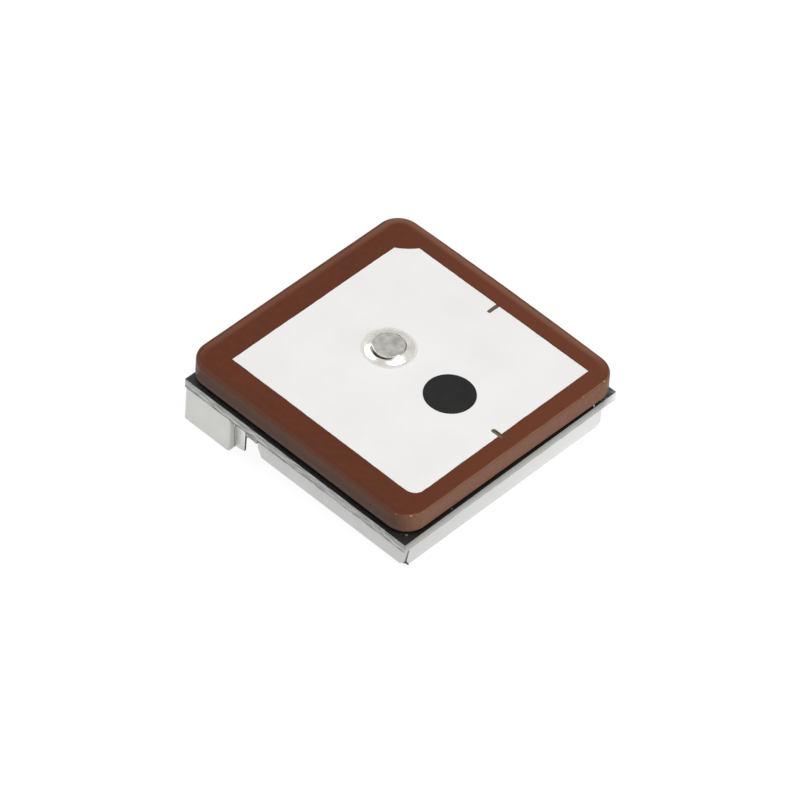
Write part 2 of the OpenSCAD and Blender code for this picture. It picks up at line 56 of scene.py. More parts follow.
LOG = logging.getLogger("gps_module")
MM = 0.001
BODY = "root"
UP = Vector((0.0, 0.0, 1.0))
ORIGIN: Triple = (0.0, 0.0, 0.0)
EVENLY: Triple = (1.0, 1.0, 1.0)
IN_PLAN: Triple = (1.0, 1.0, 0.0)
WHITE = (1.0, 1.0, 1.0, 1.0)

# How a screen's levels become linear ones
SCREEN_TOP = 255
SCREEN_TOE = 0.04045
SCREEN_SLOPE = 12.92
SCREEN_LIFT = 0.055
SCREEN_GAMMA = 2.4

# Colour sockets of the Mix node: share, first and second, and the result
MIX_INPUTS = (0, 6, 7)
MIX_RESULT = 2

# Width of a band of the Wave node at a scale of 1
WAVE_BAND = 0.314

# Limits for joining, sorting and softening the CAD triangles
MERGE_WITHIN = 0.0005 * MM
FLAT_WITHIN = math.radians(0.4)
SHARP_FROM = math.radians(40)
SOFT_SEGMENTS = 2
SMOOTH_BELOW = math.radians(50)
LEVEL_FROM = 0.999
UPRIGHT_BELOW = 0.01
LONG_EDGE = 10 * MM

# Materials made so far, by the name of their finish
MADE: dict[str, bpy.types.Material] = {}


class Metal(Enum):
    """How much a finish reflects as metal."""

    NONE = 0.0
    DULL = 0.35
    FULL = 1.0


class Rim(Enum):
    """Where up the ceramic block a chip is, as a share of its height."""

    TOP = 0.95
    FLANK = 0.22


class Seed(Enum):
    """Where each use of the unevenness starts, so that no two are alike."""

    FIBRE = 2.0
    RIM = 3.0
    SCRAP = 4.0
    PRINT = 5.0
    FINE_PRINT = 7.0
    CHIP = 9.0


def paint(tone: Colour) -> tuple[float, float, float, float]:
    """Linear colour for a shader.

    Args:
        tone: Red, green and blue from 0 to 255, as a screen shows them.

    Returns:
        The linear red, green, blue and an alpha of 1.
    """
    linear = []
    for level in tone:
        share = level / SCREEN_TOP
        if share <= SCREEN_TOE:
            linear.append(share / SCREEN_SLOPE)
        else:
            linear.append(((share + SCREEN_LIFT) / (1 + SCREEN_LIFT)) ** SCREEN_GAMMA)
    return (linear[0], linear[1], linear[2], 1.0)


def wander(point: Vector, cell: float, seed: Seed) -> float:
    """Smooth unevenness at a point.

    Args:
        point: Place, in the cell's unit.
        cell: Size of one swell.
        seed: What the unevenness is for.

    Returns:
        A value from about -1 to 1.
    """
    start = seed.value
    return noise.noise(point / cell + Vector((start, -start, 0.5 * start)))


class Graph:
    """A node tree, with the wiring that materials and surroundings share."""

    def __init__(self, tree: bpy.types.NodeTree) -> None:
        """Takes the tree that is wired."""
        self.tree = tree

    def node(self, kind: str, **settings: object) -> bpy.types.Node:
        """Adds a node.

        Args:
            kind: Blender's name of the node type, without its ShaderNode start.
            **settings: Properties of the node itself.

        Returns:
            The new node.
        """
        made = self.tree.nodes.new("ShaderNode" + kind)
        for key, value in settings.items():
            setattr(made, key, value)
        return made

    def feed(self, target: Socket, value: object) -> None:
        """Links a socket to another socket, or sets its plain value.

        Args:
            target: The input socket.
            value: The output socket to link, or a value.
        """
        if isinstance(value, Socket):
            self.tree.links.new(value, target)
        else:
            target.default_value = value

    def spread(self, source: Socket, low: float, high: float, to_low: float = 0.0,
               to_high: float = 1.0) -> Socket:
        """Maps a value from one range to another, clamped.

        Args:
            source: Value socket.
            low: Start of the range that is read.
            high: End of the range that is read.
            to_low: What the start becomes.
            to_high: What the end becomes.

        Returns:
            The value socket.
        """
        made = self.node("MapRange")
        for key, value in (("Value", source), ("From Min", low), ("From Max", high),
                           ("To Min", to_low), ("To Max", to_high)):
            self.feed(made.inputs[key], value)
        return made.outputs["Result"]

    def reckon(self, operation: str, first: object, second: object = 0.0) -> Socket:
        """Works out one value from two.

        Args:
            operation: Blender's name of the operation.
            first: Socket or number.
            second: Socket or number.

        Returns:
            The value socket.
        """
        made = self.node("Math", operation=operation)
        self.feed(made.inputs[0], first)
        self.feed(made.inputs[1], second)
        return made.outputs[0]

    def times(self, first: object, second: object) -> Socket:
        """One value times another."""
        return self.reckon("MULTIPLY", first, second)

    def apart(self, first: object, second: object) -> Socket:
        """How far apart two values are."""
        return self.reckon("ABSOLUTE", self.reckon("SUBTRACT", first, second))

    def seen(self) -> Socket:
        """Tells rays that show a surface from rays that only light others.

        Returns:
            1 for rays from the camera, in reflections and through glass, else 0.
        """
        path = self.node("LightPath")
        glossy = self.reckon("MAXIMUM", path.outputs["Is Camera Ray"], path.outputs["Is Glossy Ray"])
        return self.reckon("MAXIMUM", glossy, path.outputs["Is Transmission Ray"])


class Shader(Graph):
    """Node graph of one material, with the wiring that the finishes share."""

    def __init__(self, name: str) -> None:
        """Starts a material with its principled shader.

        Args:
            name: Name of the material.
        """
        self.material = bpy.data.materials.new(name)
        self.material.use_nodes = True
        super().__init__(self.material.node_tree)
        self.principled = self.tree.nodes["Principled BSDF"]

    def place(self, stretch: Triple = EVENLY, origin: Triple = ORIGIN) -> Socket:
        """Object coordinates in millimetres.

        Args:
            stretch: How much finer a pattern becomes along each axis.
            origin: The point, in metres, that the pattern is centred on.

        Returns:
            The vector socket.
        """
        coords = self.node("TexCoord")
        mapping = self.node("Mapping")
        scale = [s / MM for s in stretch]
        mapping.inputs["Scale"].default_value = scale
        mapping.inputs["Location"].default_value = [-s * o for s, o in zip(scale, origin)]
        self.feed(mapping.inputs["Vector"], coords.outputs["Object"])
        return mapping.outputs["Vector"]

    def grain(self, place: Socket, cell_mm: float, detail: float = 3.0) -> Socket:
        """Noise whose swells have a given size.

        Args:
            place: Vector socket in millimetres.
            cell_mm: Size of a swell.
            detail: Number of finer layers.

        Returns:
            The value socket, centred on 0.5.
        """
        made = self.node("TexNoise")
        made.inputs["Scale"].default_value = 1.0 / cell_mm
        made.inputs["Detail"].default_value = detail
        self.feed(made.inputs["Vector"], place)
        return made.outputs["Fac"]

    def vector(self, operation: str, first: object, second: Triple = ORIGIN) -> Socket:
        """Works out one vector from two.

        Args:
            operation: Blender's name of the operation.
            first: Socket or vector.
            second: Vector.

        Returns:
            The vector socket.
        """
        made = self.node("VectorMath", operation=operation)
        self.feed(made.inputs[0], first)
        self.feed(made.inputs[1], second)
        return made.outputs["Vector"]

    def length(self, place: Socket) -> Socket:
        """How long a vector is.

        Args:
            place: Vector socket.

        Returns:
            The value socket.
        """
        made = self.node("VectorMath", operation="LENGTH")
        self.feed(made.inputs[0], place)
        return made.outputs["Value"]

    def mix(self, share: object, first: object, second: object) -> Socket:
        """Mixes two colours.

        Args:
            share: Socket or number, 0 for the first colour and 1 for the second.
            first: Colour socket or value.
            second: Colour socket or value.

        Returns:
            The colour socket.
        """
        made = self.node("Mix", data_type="RGBA")
        for index, value in zip(MIX_INPUTS, (share, first, second)):
            self.feed(made.inputs[index], value)
        return made.outputs[MIX_RESULT]

    def along(self, place: Socket, axis: str) -> Socket:
        """One coordinate of a vector.

        Args:
            place: Vector socket.
            axis: X, Y or Z.

        Returns:
            The value socket.
        """
        parts = self.node("SeparateXYZ")
        self.feed(parts.inputs[0], place)
        return parts.outputs[axis]

    def facing(self, axis: str) -> Socket:
        """The surface normal's part along one axis, X, Y or Z."""
        return self.along(self.node("NewGeometry").outputs["Normal"], axis)

    def attribute(self, name: str) -> Socket:
        """A value that the mesh carries under a name."""
        return self.node("Attribute", attribute_name=name).outputs["Fac"]

    def bump(self, height: Socket, depth_mm: float) -> None:
        """Adds relief to what the shader already has.

        Args:
            height: Value socket.
            depth_mm: Depth of the relief.
        """
        made = self.node("Bump")
        made.inputs["Distance"].default_value = depth_mm * MM
        self.feed(made.inputs["Height"], height)
        normal = self.principled.inputs["Normal"]
        if normal.is_linked:
            self.feed(made.inputs["Normal"], normal.links[0].from_socket)
        self.feed(normal, made.outputs["Normal"])

    def set(self, name: str, value: object) -> None:
        """Sets or links one socket of the principled shader."""
        self.feed(self.principled.inputs[name], value)


@dataclass(frozen=True)
class Finish:
    """A mottled surface: two tones, a grain that varies the gloss, and fine relief.

    Sizes are in millimetres. In this and the other finishes a turn is a range of the surface
    normal's part along an axis, and a span is a range of a noise.
    """

    name: str
    tone: Colour
    drift: Colour
    cloud: float = 3.0
    cloud_span: Span = (0.32, 0.68)
    grain: float = 0.25
    grain_span: Span = (0.3, 0.7)
    rough: float = 0.5
    rough_spread: float = 0.08
    relief: float = 0.004
    specular: float = 0.3
    metal: Metal = Metal.NONE
    stretch: Triple = EVENLY

    def material(self) -> bpy.types.Material:
        """The finish as a material, made once and then shared.

        Returns:
            The material.
        """
        if self.name not in MADE:
            shader = Shader(self.name)
            shader.set("Metallic", self.metal.value)
            shader.set("Specular IOR Level", self.specular)
            self.wire(shader)
            MADE[self.name] = shader.material
        return MADE[self.name]

    def wire(self, shader: Shader) -> None:
        """Wires colour, gloss and relief."""
        shader.set("Base Color", self.mottle(shader))
        self.surface(shader)

    def mottle(self, shader: Shader) -> Socket:
        """Colour that drifts between the two tones in clouds."""
        clouds = shader.grain(shader.place(self.stretch), self.cloud)
        return shader.mix(shader.spread(clouds, *self.cloud_span), paint(self.tone), paint(self.drift))

    def surface(self, shader: Shader) -> None:
        """Wires gloss that varies with the grain, and the grain's relief.

        Args:
            shader: The material's graph.
        """
        grain = shader.grain(shader.place(self.stretch), self.grain)
        low, high = self.rough - self.rough_spread, self.rough + self.rough_spread
        shader.set("Roughness", shader.spread(grain, *self.grain_span, low, high))
        shader.bump(grain, self.relief)


@dataclass(frozen=True)
class Slot:
    """A tuning slot scraped through the silver: its middle and half its size, in millimetres."""

    x: float
    y: float
    half_x: float
    half_y: float
    tone: Colour
    # Painted shade along the slot's edge, where its recess shades it.
    edge: Colour


@dataclass(frozen=True)
class FiredCeramic(Finish):
    """Pressed and fired brown ceramic: lapped face, flanks, a rim and chips, with painted light and shade.

    The flanks are painted greyer than the face, a painted reflection of the pale surroundings, and the +X
    flank and rim are painted paler as painted light. The rim's rounding carries a patchy painted highlight.
    The face has painted shade along the front, painted light towards the far corner and a painted highlight
    along the -X and +Y rims. The tuning slots are scraped grey, with painted shade along their edges.
    """

    # Painted reflection: the flanks are painted greyer than the face, for the pale surroundings that they
    # reflect.
    flank: Colour = (82, 62, 51)
    flank_turn: Span = (0.84, 0.7)
    blush: Colour = (97, 58, 45)
    blush_rise: Span = (0.58, 0.94)
    blush_least: float = 0.75
    foot: Colour = (96, 82, 76)
    foot_fall: Span = (0.34, 0.12)
    # Painted light: the +X flank is painted paler, as the light from +X falls on it.
    lit_flank: Colour = (117, 82, 63)
    lit_side_turn: Span = (0.25, 0.85)
    powder_share: float = 0.25
    # Painted light and shade along the rim's rounding: greyish at -X, a pale painted highlight at +X.
    rim: Colour = (90, 52, 38)
    lit_rim: Colour = (138, 97, 80)
    rim_rise: Span = (0.62, 0.7)
    rim_fall: Span = (0.9, 0.8)
    patch_cell: float = 1.4
    patch_span: Span = (0.35, 0.65)
    patch_least: float = 0.35
    # Painted shade: the face is painted darker along its front edge, where its rounding turns from the
    # light.
    front_shade: Colour = (86, 47, 31)
    front_shade_depth: Span = (0.7, 0.3)
    olive: Colour = (92, 54, 36)
    olive_cell: float = 0.6
    olive_span: Span = (0.42, 0.66)
    olive_share: float = 0.5
    # Painted light: the face is painted lighter towards the +X+Y corner, where the light from the right
    # falls.
    far: Colour = (102, 54, 35)
    far_reach: Span = (-3.0, 11.0)
    chip: Colour = (206, 162, 148)
    chip_mark: str = "chipped"
    # Painted highlight: a pale band along the -X and +Y rims that stands in for the reflection off their
    # rounding.
    shoulder: Colour = (122, 83, 66)
    glint_rise: Span = (0.2, 0.42)
    glint_fall: Span = (0.98, 0.54)
    glint_side: Span = (-0.5, 2.5)
    glint_left: float = 0.6
    glint_left_reach: Span = (-6.0, 0.0)
    low: Triple = ORIGIN
    high: Triple = (0.025, 0.025, 0.002)
    corner: float = 2.05
    slots: tuple[Slot, ...] = ()
    slot_edge: float = 0.08

    def inset(self, shader: Shader) -> Socket:
        """How far in from the block's rim a place is, up to the corner radius.

        Args:
            shader: The material's graph.

        Returns:
            The distance in millimetres.
        """
        middle = (Vector(self.low) + Vector(self.high)) / 2
        half = (self.high[0] - self.low[0]) / 2 / MM
        off = shader.vector("ABSOLUTE", shader.place(IN_PLAN, tuple(middle)))
        past = shader.vector("SUBTRACT", off, (half - self.corner,) * 3)
        return shader.reckon("SUBTRACT", self.corner, shader.length(shader.vector("MAXIMUM", past)))

    def far_rim_highlight(self, shader: Shader) -> Socket:
        """How much of the painted highlight along the -X and +Y rims shows at a place.

        Args:
            shader: The material's graph.

        Returns:
            The share, 0 to 1.
        """
        inset = self.inset(shader)
        band = shader.times(shader.spread(inset, *self.glint_rise),
                            shader.spread(inset, *self.glint_fall))
        place = shader.place()
        x, y = shader.along(place, "X"), shader.along(place, "Y")
        side = shader.spread(shader.reckon("SUBTRACT", y, x), *self.glint_side)
        left = shader.spread(shader.reckon("ADD", y, x), *self.glint_left_reach, self.glint_left, 1.0)
        return shader.times(shader.times(band, side), left)

    def scraped(self, shader: Shader, body: Socket) -> Socket:
        """Lays the scraped floors of the slots over the ceramic's colour, each inside a band of painted
        shade along its edge.

        Args:
            shader: The material's graph.
            body: The ceramic's colour.

        Returns:
            The colour socket.
        """
        for slot in self.slots:
            off = shader.vector("ABSOLUTE", shader.place(IN_PLAN, (slot.x * MM, slot.y * MM, 0.0)))
            # Painted shade along the edge first, then the slot's floor.
            for start, tone in ((0.0, slot.edge), (self.slot_edge, slot.tone)):
                within = [shader.spread(shader.along(off, axis), half - start, half - start - self.slot_edge)
                          for axis, half in (("X", slot.half_x), ("Y", slot.half_y))]
                body = shader.mix(shader.times(*within), body, paint(tone))
        return body

    def face(self, shader: Shader) -> Socket:
        """Colour of the face: painted light towards the far corner, stained, painted shade along the front,
        a painted highlight along the far rims, with its slots.

        Args:
            shader: The material's graph.

        Returns:
            The colour socket.
        """
        place = shader.place()
        y = shader.along(place, "Y")
        across = shader.reckon("ADD", shader.along(place, "X"), y)
        # Painted light towards the far corner.
        body = shader.mix(shader.spread(across, *self.far_reach), self.mottle(shader), paint(self.far))
        stains = shader.spread(shader.grain(place, self.olive_cell), *self.olive_span, 0.0, self.olive_share)
        body = shader.mix(stains, body, paint(self.olive))
        # Painted shade along the front edge.
        front = [self.low[1] / MM + depth for depth in self.front_shade_depth]
        body = shader.mix(shader.spread(y, *front), body, paint(self.front_shade))
        # Painted highlight along the far rims.
        body = shader.mix(self.far_rim_highlight(shader), body, paint(self.shoulder))
        return self.scraped(shader, body)

    def flanks(self, shader: Shader, lit_side: Socket, patchy: Socket) -> Socket:
        """Colour of the flanks: painted greyer as a painted reflection, blushing below the rim, greyer at
        the foot, painted paler at +X as painted light, powdery.

        Args:
            shader: The material's graph.
            lit_side: Share that faces +X, where the painted light falls.
            patchy: How patchy a place is, which varies the blush and breaks the painted rim highlight.

        Returns:
            The colour socket.
        """
        place = shader.place()
        height = shader.spread(shader.along(place, "Z"), self.low[2] / MM, self.high[2] / MM)
        blush = shader.times(shader.spread(height, *self.blush_rise),
                             shader.spread(patchy, self.patch_least, 1.0, self.blush_least, 1.0))
        body = shader.mix(blush, paint(self.flank), paint(self.blush))
        body = shader.mix(shader.spread(height, *self.foot_fall), body, paint(self.foot))
        body = shader.mix(lit_side, body, paint(self.lit_flank))
        powder = shader.spread(shader.grain(place, self.grain), *self.grain_span, 0.0, self.powder_share)
        return shader.mix(powder, body, paint(self.drift))

    def wire(self, shader: Shader) -> None:
        """Wires the face, the flanks, the painted light and shade on the rim between them and the chips.

        Args:
            shader: The material's graph.
        """
        rise = shader.facing("Z")
        # Painted light: share of the +X side, where the flanks and rim are painted paler.
        lit_side = shader.spread(shader.facing("X"), *self.lit_side_turn)
        patches = shader.grain(shader.place(), self.patch_cell)
        patchy = shader.spread(patches, *self.patch_span, self.patch_least, 1.0)
        flanks = self.flanks(shader, lit_side, patchy)
        body = shader.mix(shader.spread(rise, *self.flank_turn), self.face(shader), flanks)
        # Painted light and shade along the rim's rounding, broken up by the patchy noise.
        rim = shader.mix(lit_side, paint(self.rim), paint(self.lit_rim))
        band = shader.times(shader.spread(rise, *self.rim_rise), shader.spread(rise, *self.rim_fall))
        body = shader.mix(shader.times(band, patchy), body, rim)
        shader.set("Base Color", shader.mix(shader.attribute(self.chip_mark), body, paint(self.chip)))
        self.surface(shader)


@dataclass(frozen=True)
class PinHead(Finish):
    """Dull tinned pin head with a broken dark line, a painted shadow where its rim meets the solder on one
    side.
    """

    axis: Triple = ORIGIN
    rim_radius: float = 1.4
    # Painted shadow: a dark line along the head's rim, on the side where it shades the solder.
    line: Colour = (92, 90, 86)
    line_width: float = 0.09
    line_side: Span = (-0.35, 0.45)
    break_cell: float = 0.7
    break_span: Span = (0.42, 0.6)

    def wire(self, shader: Shader) -> None:
        """Wires the mottled disc and its painted shadow line.

        Args:
            shader: The material's graph.
        """
        place = shader.place(IN_PLAN, self.axis)
        off = shader.apart(shader.length(place), self.rim_radius)
        line = shader.spread(off, 0.0, self.line_width, 1.0, 0.0)
        line = shader.times(line, shader.spread(shader.along(place, "Y"), *self.line_side))
        broken = shader.spread(shader.grain(shader.place(), self.break_cell), *self.break_span)
        share = shader.times(line, broken)
        shader.set("Base Color", shader.mix(share, self.mottle(shader), paint(self.line)))
        self.surface(shader)


@dataclass(frozen=True)
class FlowedSolder(Finish):
    """Bright flowed solder with painted shade in its crevice and a toe that runs out into the silver."""

    # Painted shade: the crevice between the head and the solder is painted dark.
    crevice_shade: Colour = (58, 54, 50)
    crevice_shade_mark: str = "crevice_shade"
    toe: Colour = (236, 235, 233)
    toe_mark: str = "toe"

    def wire(self, shader: Shader) -> None:
        """Wires the metal, the painted crevice shade and the toe.

        Args:
            shader: The material's graph.
        """
        toe = shader.attribute(self.toe_mark)
        metal = shader.mix(toe, self.mottle(shader), paint(self.toe))
        shader.set("Base Color", shader.mix(shader.attribute(self.crevice_shade_mark), metal, paint(self.crevice_shade)))
        shader.set("Metallic", shader.reckon("SUBTRACT", self.metal.value, toe))
        self.surface(shader)


@dataclass(frozen=True)
class BoardMask(Finish):
    """Black solder mask over a glass weave, with painted shade along its margins, a little pale dust and one
    scuffed corner.
    """

    # Painted shade: the margins between the corners lie in the ceramic's shade and are painted darker.
    margin: Colour = (11, 10, 9)
    middle: Triple = ORIGIN
    half: float = 12.4
    corner_reach: Span = (2.0, 0.7)
    scuff: Colour = (112, 118, 114)
    scuff_at: Triple = ORIGIN
    scuff_reach: float = 2.2
    scuff_core: float = 0.3
    scuff_cell: float = 0.35
    scuff_span: Span = (0.35, 0.65)
    dust: Colour = (150, 152, 148)
    motes: tuple[Triple, ...] = ((11.9, -11.77, 0.14), (12.42, -7.09, 0.1))
    mote_core: float = 0.3
    mote_share: float = 0.6
    speck_scale: float = 1.1
    speck_size: Span = (0.05, 0.09)
    speck_cell: float = 2.0
    speck_span: Span = (0.55, 0.6)
    weave: float = 0.45
    weave_bend: float = 0.6

    def scuffed(self, shader: Shader) -> Socket:
        """Colour of the mask, with painted shade on the margins between its corners, and the scuffed corner.

        Args:
            shader: The material's graph.

        Returns:
            The colour socket.
        """
        centred = shader.place(origin=self.middle)
        reach = [shader.reckon("ABSOLUTE", shader.along(centred, axis)) for axis in ("X", "Y")]
        limits = [self.half - inset for inset in self.corner_reach]
        # Painted shade: 0 on the margins between the corners, 1 at the corners.
        corner = shader.spread(shader.reckon("MINIMUM", *reach), *limits)
        body = shader.mix(corner, paint(self.margin), self.mottle(shader))
        away = shader.length(shader.place(origin=self.scuff_at))
        near = shader.spread(away, self.scuff_core * self.scuff_reach, self.scuff_reach, 1.0, 0.0)
        rubs = shader.spread(shader.grain(shader.place(), self.scuff_cell), *self.scuff_span)
        return shader.mix(shader.times(near, rubs), body, paint(self.scuff))

    def dusted(self, shader: Shader, body: Socket) -> Socket:
        """Lays the dust over the mask: single motes and fine specks.

        Args:
            shader: The material's graph.
            body: The mask's colour.

        Returns:
            The colour socket.
        """
        for x, y, size in self.motes:
            off = shader.length(shader.place(IN_PLAN, (x * MM, y * MM, 0.0)))
            share = shader.spread(off, self.mote_core * size, size, self.mote_share, 0.0)
            body = shader.mix(share, body, paint(self.dust))
        specks = shader.node("TexVoronoi", feature="F1")
        specks.inputs["Scale"].default_value = self.speck_scale
        shader.feed(specks.inputs["Vector"], shader.place())
        spots = shader.spread(specks.outputs["Distance"], *self.speck_size, 1.0, 0.0)
        some = shader.spread(shader.grain(shader.place(), self.speck_cell), *self.speck_span)
        return shader.mix(shader.times(spots, some), body, paint(self.dust))

    def wire(self, shader: Shader) -> None:
        """Wires the mask, its dust and its weave.

        Args:
            shader: The material's graph.
        """
        shader.set("Base Color", self.dusted(shader, self.scuffed(shader)))
        self.surface(shader)
        for axis in ("X", "Y"):
            wave = shader.node("TexWave", wave_type="BANDS", bands_direction=axis)
            wave.inputs["Scale"].default_value = WAVE_BAND / self.weave
            wave.inputs["Distortion"].default_value = self.weave_bend
            shader.feed(wave.inputs["Vector"], shader.place())
            shader.bump(wave.outputs["Fac"], self.relief)


@dataclass(frozen=True)
class FibreEdge(Finish):
    """Routed edge of a glass-fibre board: streaks, a pale torn strip, painted shadow along the foot at -Y, a
    bleached end.
    """

    low: float = 0.0
    high: float = 0.001
    front_turn: Span = (-0.9, -0.3)
    front_dark: Colour = (116, 116, 114)
    front_light: Colour = (204, 204, 201)
    front_span: Span = (0.38, 0.62)
    strip: Colour = (216, 216, 213)
    strip_at: float = 0.36
    strip_half: float = 0.16
    torn_stretch: Triple = (0.5, 0.5, 5.0)
    torn_cell: float = 0.9
    torn_span: Span = (0.45, 0.65)
    side_turn: Span = (0.5, 0.9)
    side_top: Colour = (132, 132, 130)
    side_foot: Colour = (170, 170, 167)
    side_lean: Span = (0.35, 0.9)
    side_share: float = 0.75
    side_ragged: Colour = (192, 192, 190)
    bleached: Colour = (232, 232, 230)
    bleached_end: float = 0.01
    bleach_reach: float = 1.6
    # Painted shadow: the dark foot at -Y stands in for the shadow that the board's overhang casts at the
    # can; it fades towards +X.
    foot: Colour = (92, 92, 90)
    foot_cell: float = 1.3
    foot_span: Span = (0.36, 0.64)
    foot_height: Span = (-0.02, 0.18)
    foot_edge: Span = (-0.05, 0.03)
    foot_fade: Span = (2.0, 9.0)
    foot_left: float = 0.2

    def torn(self, shader: Shader, share: Socket, front: Socket) -> Socket:
        """Colour of the streaks, and of the strip that is torn out of the front edge.

        Args:
            shader: The material's graph.
            share: Height as a share of the board's thickness.
            front: Share of the front edge.

        Returns:
            The colour socket.
        """
        fibres = shader.grain(shader.place(self.stretch), self.cloud)
        streaks = shader.mix(shader.spread(fibres, *self.front_span), paint(self.front_dark),
                             paint(self.front_light))
        body = shader.mix(front, self.mottle(shader), streaks)
        strip = shader.spread(shader.apart(share, self.strip_at), 0.0, self.strip_half, 1.0, 0.0)
        torn = shader.spread(shader.grain(shader.place(self.torn_stretch), self.torn_cell), *self.torn_span)
        return shader.mix(shader.times(shader.times(strip, front), torn), body, paint(self.strip))

    def wire(self, shader: Shader) -> None:
        """Wires the streaks, the strip, the paler side and the painted shadow along the foot.

        Args:
            shader: The material's graph.
        """
        place = shader.place()
        share = shader.spread(shader.along(place, "Z"), self.low / MM, self.high / MM)
        front = shader.spread(shader.facing("Y"), *self.front_turn, 1.0, 0.0)
        side = shader.spread(shader.facing("X"), *self.side_turn)
        body = self.torn(shader, share, front)
        lean = shader.mix(shader.spread(share, *self.side_lean), paint(self.side_foot), paint(self.side_top))
        body = shader.mix(shader.times(side, self.side_share), body, lean)
        end = self.bleached_end / MM
        bleach = shader.spread(shader.along(place, "Y"), end - self.bleach_reach, end)
        body = shader.mix(bleach, body, paint(self.bleached))
        # Painted shadow along the foot, with a ragged upper edge.
        ragged = shader.grain(shader.place(IN_PLAN), self.foot_cell)
        height = shader.spread(ragged, *self.foot_span, *self.foot_height)
        below = shader.spread(shader.reckon("SUBTRACT", share, height), *self.foot_edge, 1.0, 0.0)
        fade = shader.spread(shader.along(place, "X"), *self.foot_fade, 1.0, self.foot_left)
        body = shader.mix(shader.times(shader.times(front, below), fade), body, paint(self.foot))
        shader.set("Base Color", shader.mix(shader.times(side, below), body, paint(self.side_ragged)))
        self.surface(shader)


@dataclass(frozen=True)
class TinSheet(Finish):
    """Tin plate whose +X wall is painted brighter as painted light, more so towards +Y."""

    # Painted light: tones of the +X wall, from its -Y end to its +Y end.
    near: Colour = (202, 202, 201)
    far: Colour = (223, 223, 222)
    reach: Span = (-12.0, 10.0)
    lit_wall_turn: Span = (0.5, 0.9)

    def wire(self, shader: Shader) -> None:
        """Wires the mottle and the painted light on the +X wall.

        Args:
            shader: The material's graph.
        """
        share = shader.spread(shader.along(shader.place(), "Y"), *self.reach)
        wall = shader.mix(share, paint(self.near), paint(self.far))
        turn = shader.spread(shader.facing("X"), *self.lit_wall_turn)
        shader.set("Base Color", shader.mix(turn, self.mottle(shader), wall))
        self.surface(shader)


@dataclass(frozen=True)
class TabPlate(Finish):
    """Plated tab with a painted highlight towards its free end and the board."""

    # Painted highlight: paler towards the tab's free end and the board.
    painted_highlight: Colour = (250, 250, 249)
    highlight_from: float = 0.3
    highlight_up: float = 0.8
    highlight_least: float = 0.15
    root: float = 0.0
    end: float = 0.001
    low: float = 0.0
    high: float = 0.003

    def wire(self, shader: Shader) -> None:
        """Wires the plating and its painted highlight.

        Args:
            shader: The material's graph.
        """
        place = shader.place()
        start = self.root + self.highlight_from * (self.end - self.root)
        out = shader.spread(shader.along(place, "X"), start / MM, self.end / MM)
        top = self.low + self.highlight_up * (self.high - self.low)
        up = shader.spread(shader.along(place, "Z"), self.low / MM, top / MM, self.highlight_least)
        shader.set("Base Color", shader.mix(shader.times(out, up), self.mottle(shader), paint(self.painted_highlight)))
        self.surface(shader)


@dataclass(frozen=True)
class MouldedNylon(Finish):
    """Pale moulded nylon with a painted shade line, dark and wavy, where a fixing tab leaves its rear face.
    """

    # Painted shade: the dark line at the tab's root on the rear face.
    line: Colour = (140, 140, 137)
    line_half: float = 0.075
    line_core: float = 0.3
    rear_turn: Span = (0.8, 0.95)
    tab_y: float = 0.0
    low: float = 0.0
    high: float = 0.003
    bulge: float = 0.24
    bulge_rise: Span = (0.05, 0.5)
    bulge_least: float = 0.45
    bulge_fall: Span = (0.92, 0.6)

    def wire(self, shader: Shader) -> None:
        """Wires the nylon and the painted shade line.

        Args:
            shader: The material's graph.
        """
        place = shader.place()
        rise = shader.spread(shader.along(place, "Z"), self.low / MM, self.high / MM)
        swell = shader.times(shader.spread(rise, *self.bulge_rise, self.bulge_least, 1.0),
                             shader.spread(rise, *self.bulge_fall))
        line_y = shader.reckon("SUBTRACT", self.tab_y / MM, shader.times(swell, self.bulge))
        off = shader.apart(shader.along(place, "Y"), line_y)
        line = shader.spread(off, self.line_core * self.line_half, self.line_half, 1.0, 0.0)
        share = shader.times(line, shader.spread(shader.facing("X"), *self.rear_turn))
        shader.set("Base Color", shader.mix(share, self.mottle(shader), paint(self.line)))
        self.surface(shader)


CERAMIC = FiredCeramic("fired_ceramic", (94, 48, 30), (88, 44, 27), cloud=4.0, grain=0.18, rough=0.42,
                       relief=0.003, specular=0.1)
SILVER = Finish("silver_print", (239, 238, 236), (234, 233, 231), cloud=5.0, grain=0.12, rough=0.6,
                relief=0.0025, specular=0.25)
INK = Finish("ink_print", (22, 22, 22), (29, 29, 28), cloud=1.2, grain=0.1, rough=0.48, relief=0.002,
             specular=0.15)
SCRAP = Finish("torn_tape", (198, 189, 174), (178, 168, 154), cloud=0.2, grain=0.08, rough=0.8, relief=0.01)
TAPE = Finish("foam_pad", (226, 221, 208), (214, 208, 194), cloud=0.8, grain=0.15, rough=0.8, relief=0.01)
SOLDER = FlowedSolder("flowed_solder", (218, 215, 209), (198, 195, 188), cloud=0.8, grain=0.4, rough=0.22,
                      relief=0.018, metal=Metal.FULL)
SHEET = TinSheet("tin_plate", (209, 209, 208), (201, 201, 200), cloud=2.5, grain=0.12, rough=0.42,
                 rough_spread=0.07, relief=0.002, metal=Metal.DULL, stretch=(1.0, 1.0, 0.3))
# Bare cut sheet, partly real, partly painted shade: darker still for the shade in the can's seams.
CUT_SHEET_AND_SHADE = Finish("cut_tin_plate_and_shade", (140, 138, 134), (122, 120, 117), cloud=0.4, grain=0.08, rough=0.6)
# Painted shade: the dark finish of the block that stands in for the shade inside the can's corner.
CORNER_SHADE = Finish("painted_corner_shade", (40, 38, 36), (30, 29, 28), cloud=0.3, grain=0.05, rough=0.7)
CONTACT = Finish("plated_contact", (214, 194, 140), (200, 178, 122), cloud=0.6, grain=0.08, rough=0.3,
                 relief=0.001, metal=Metal.FULL)
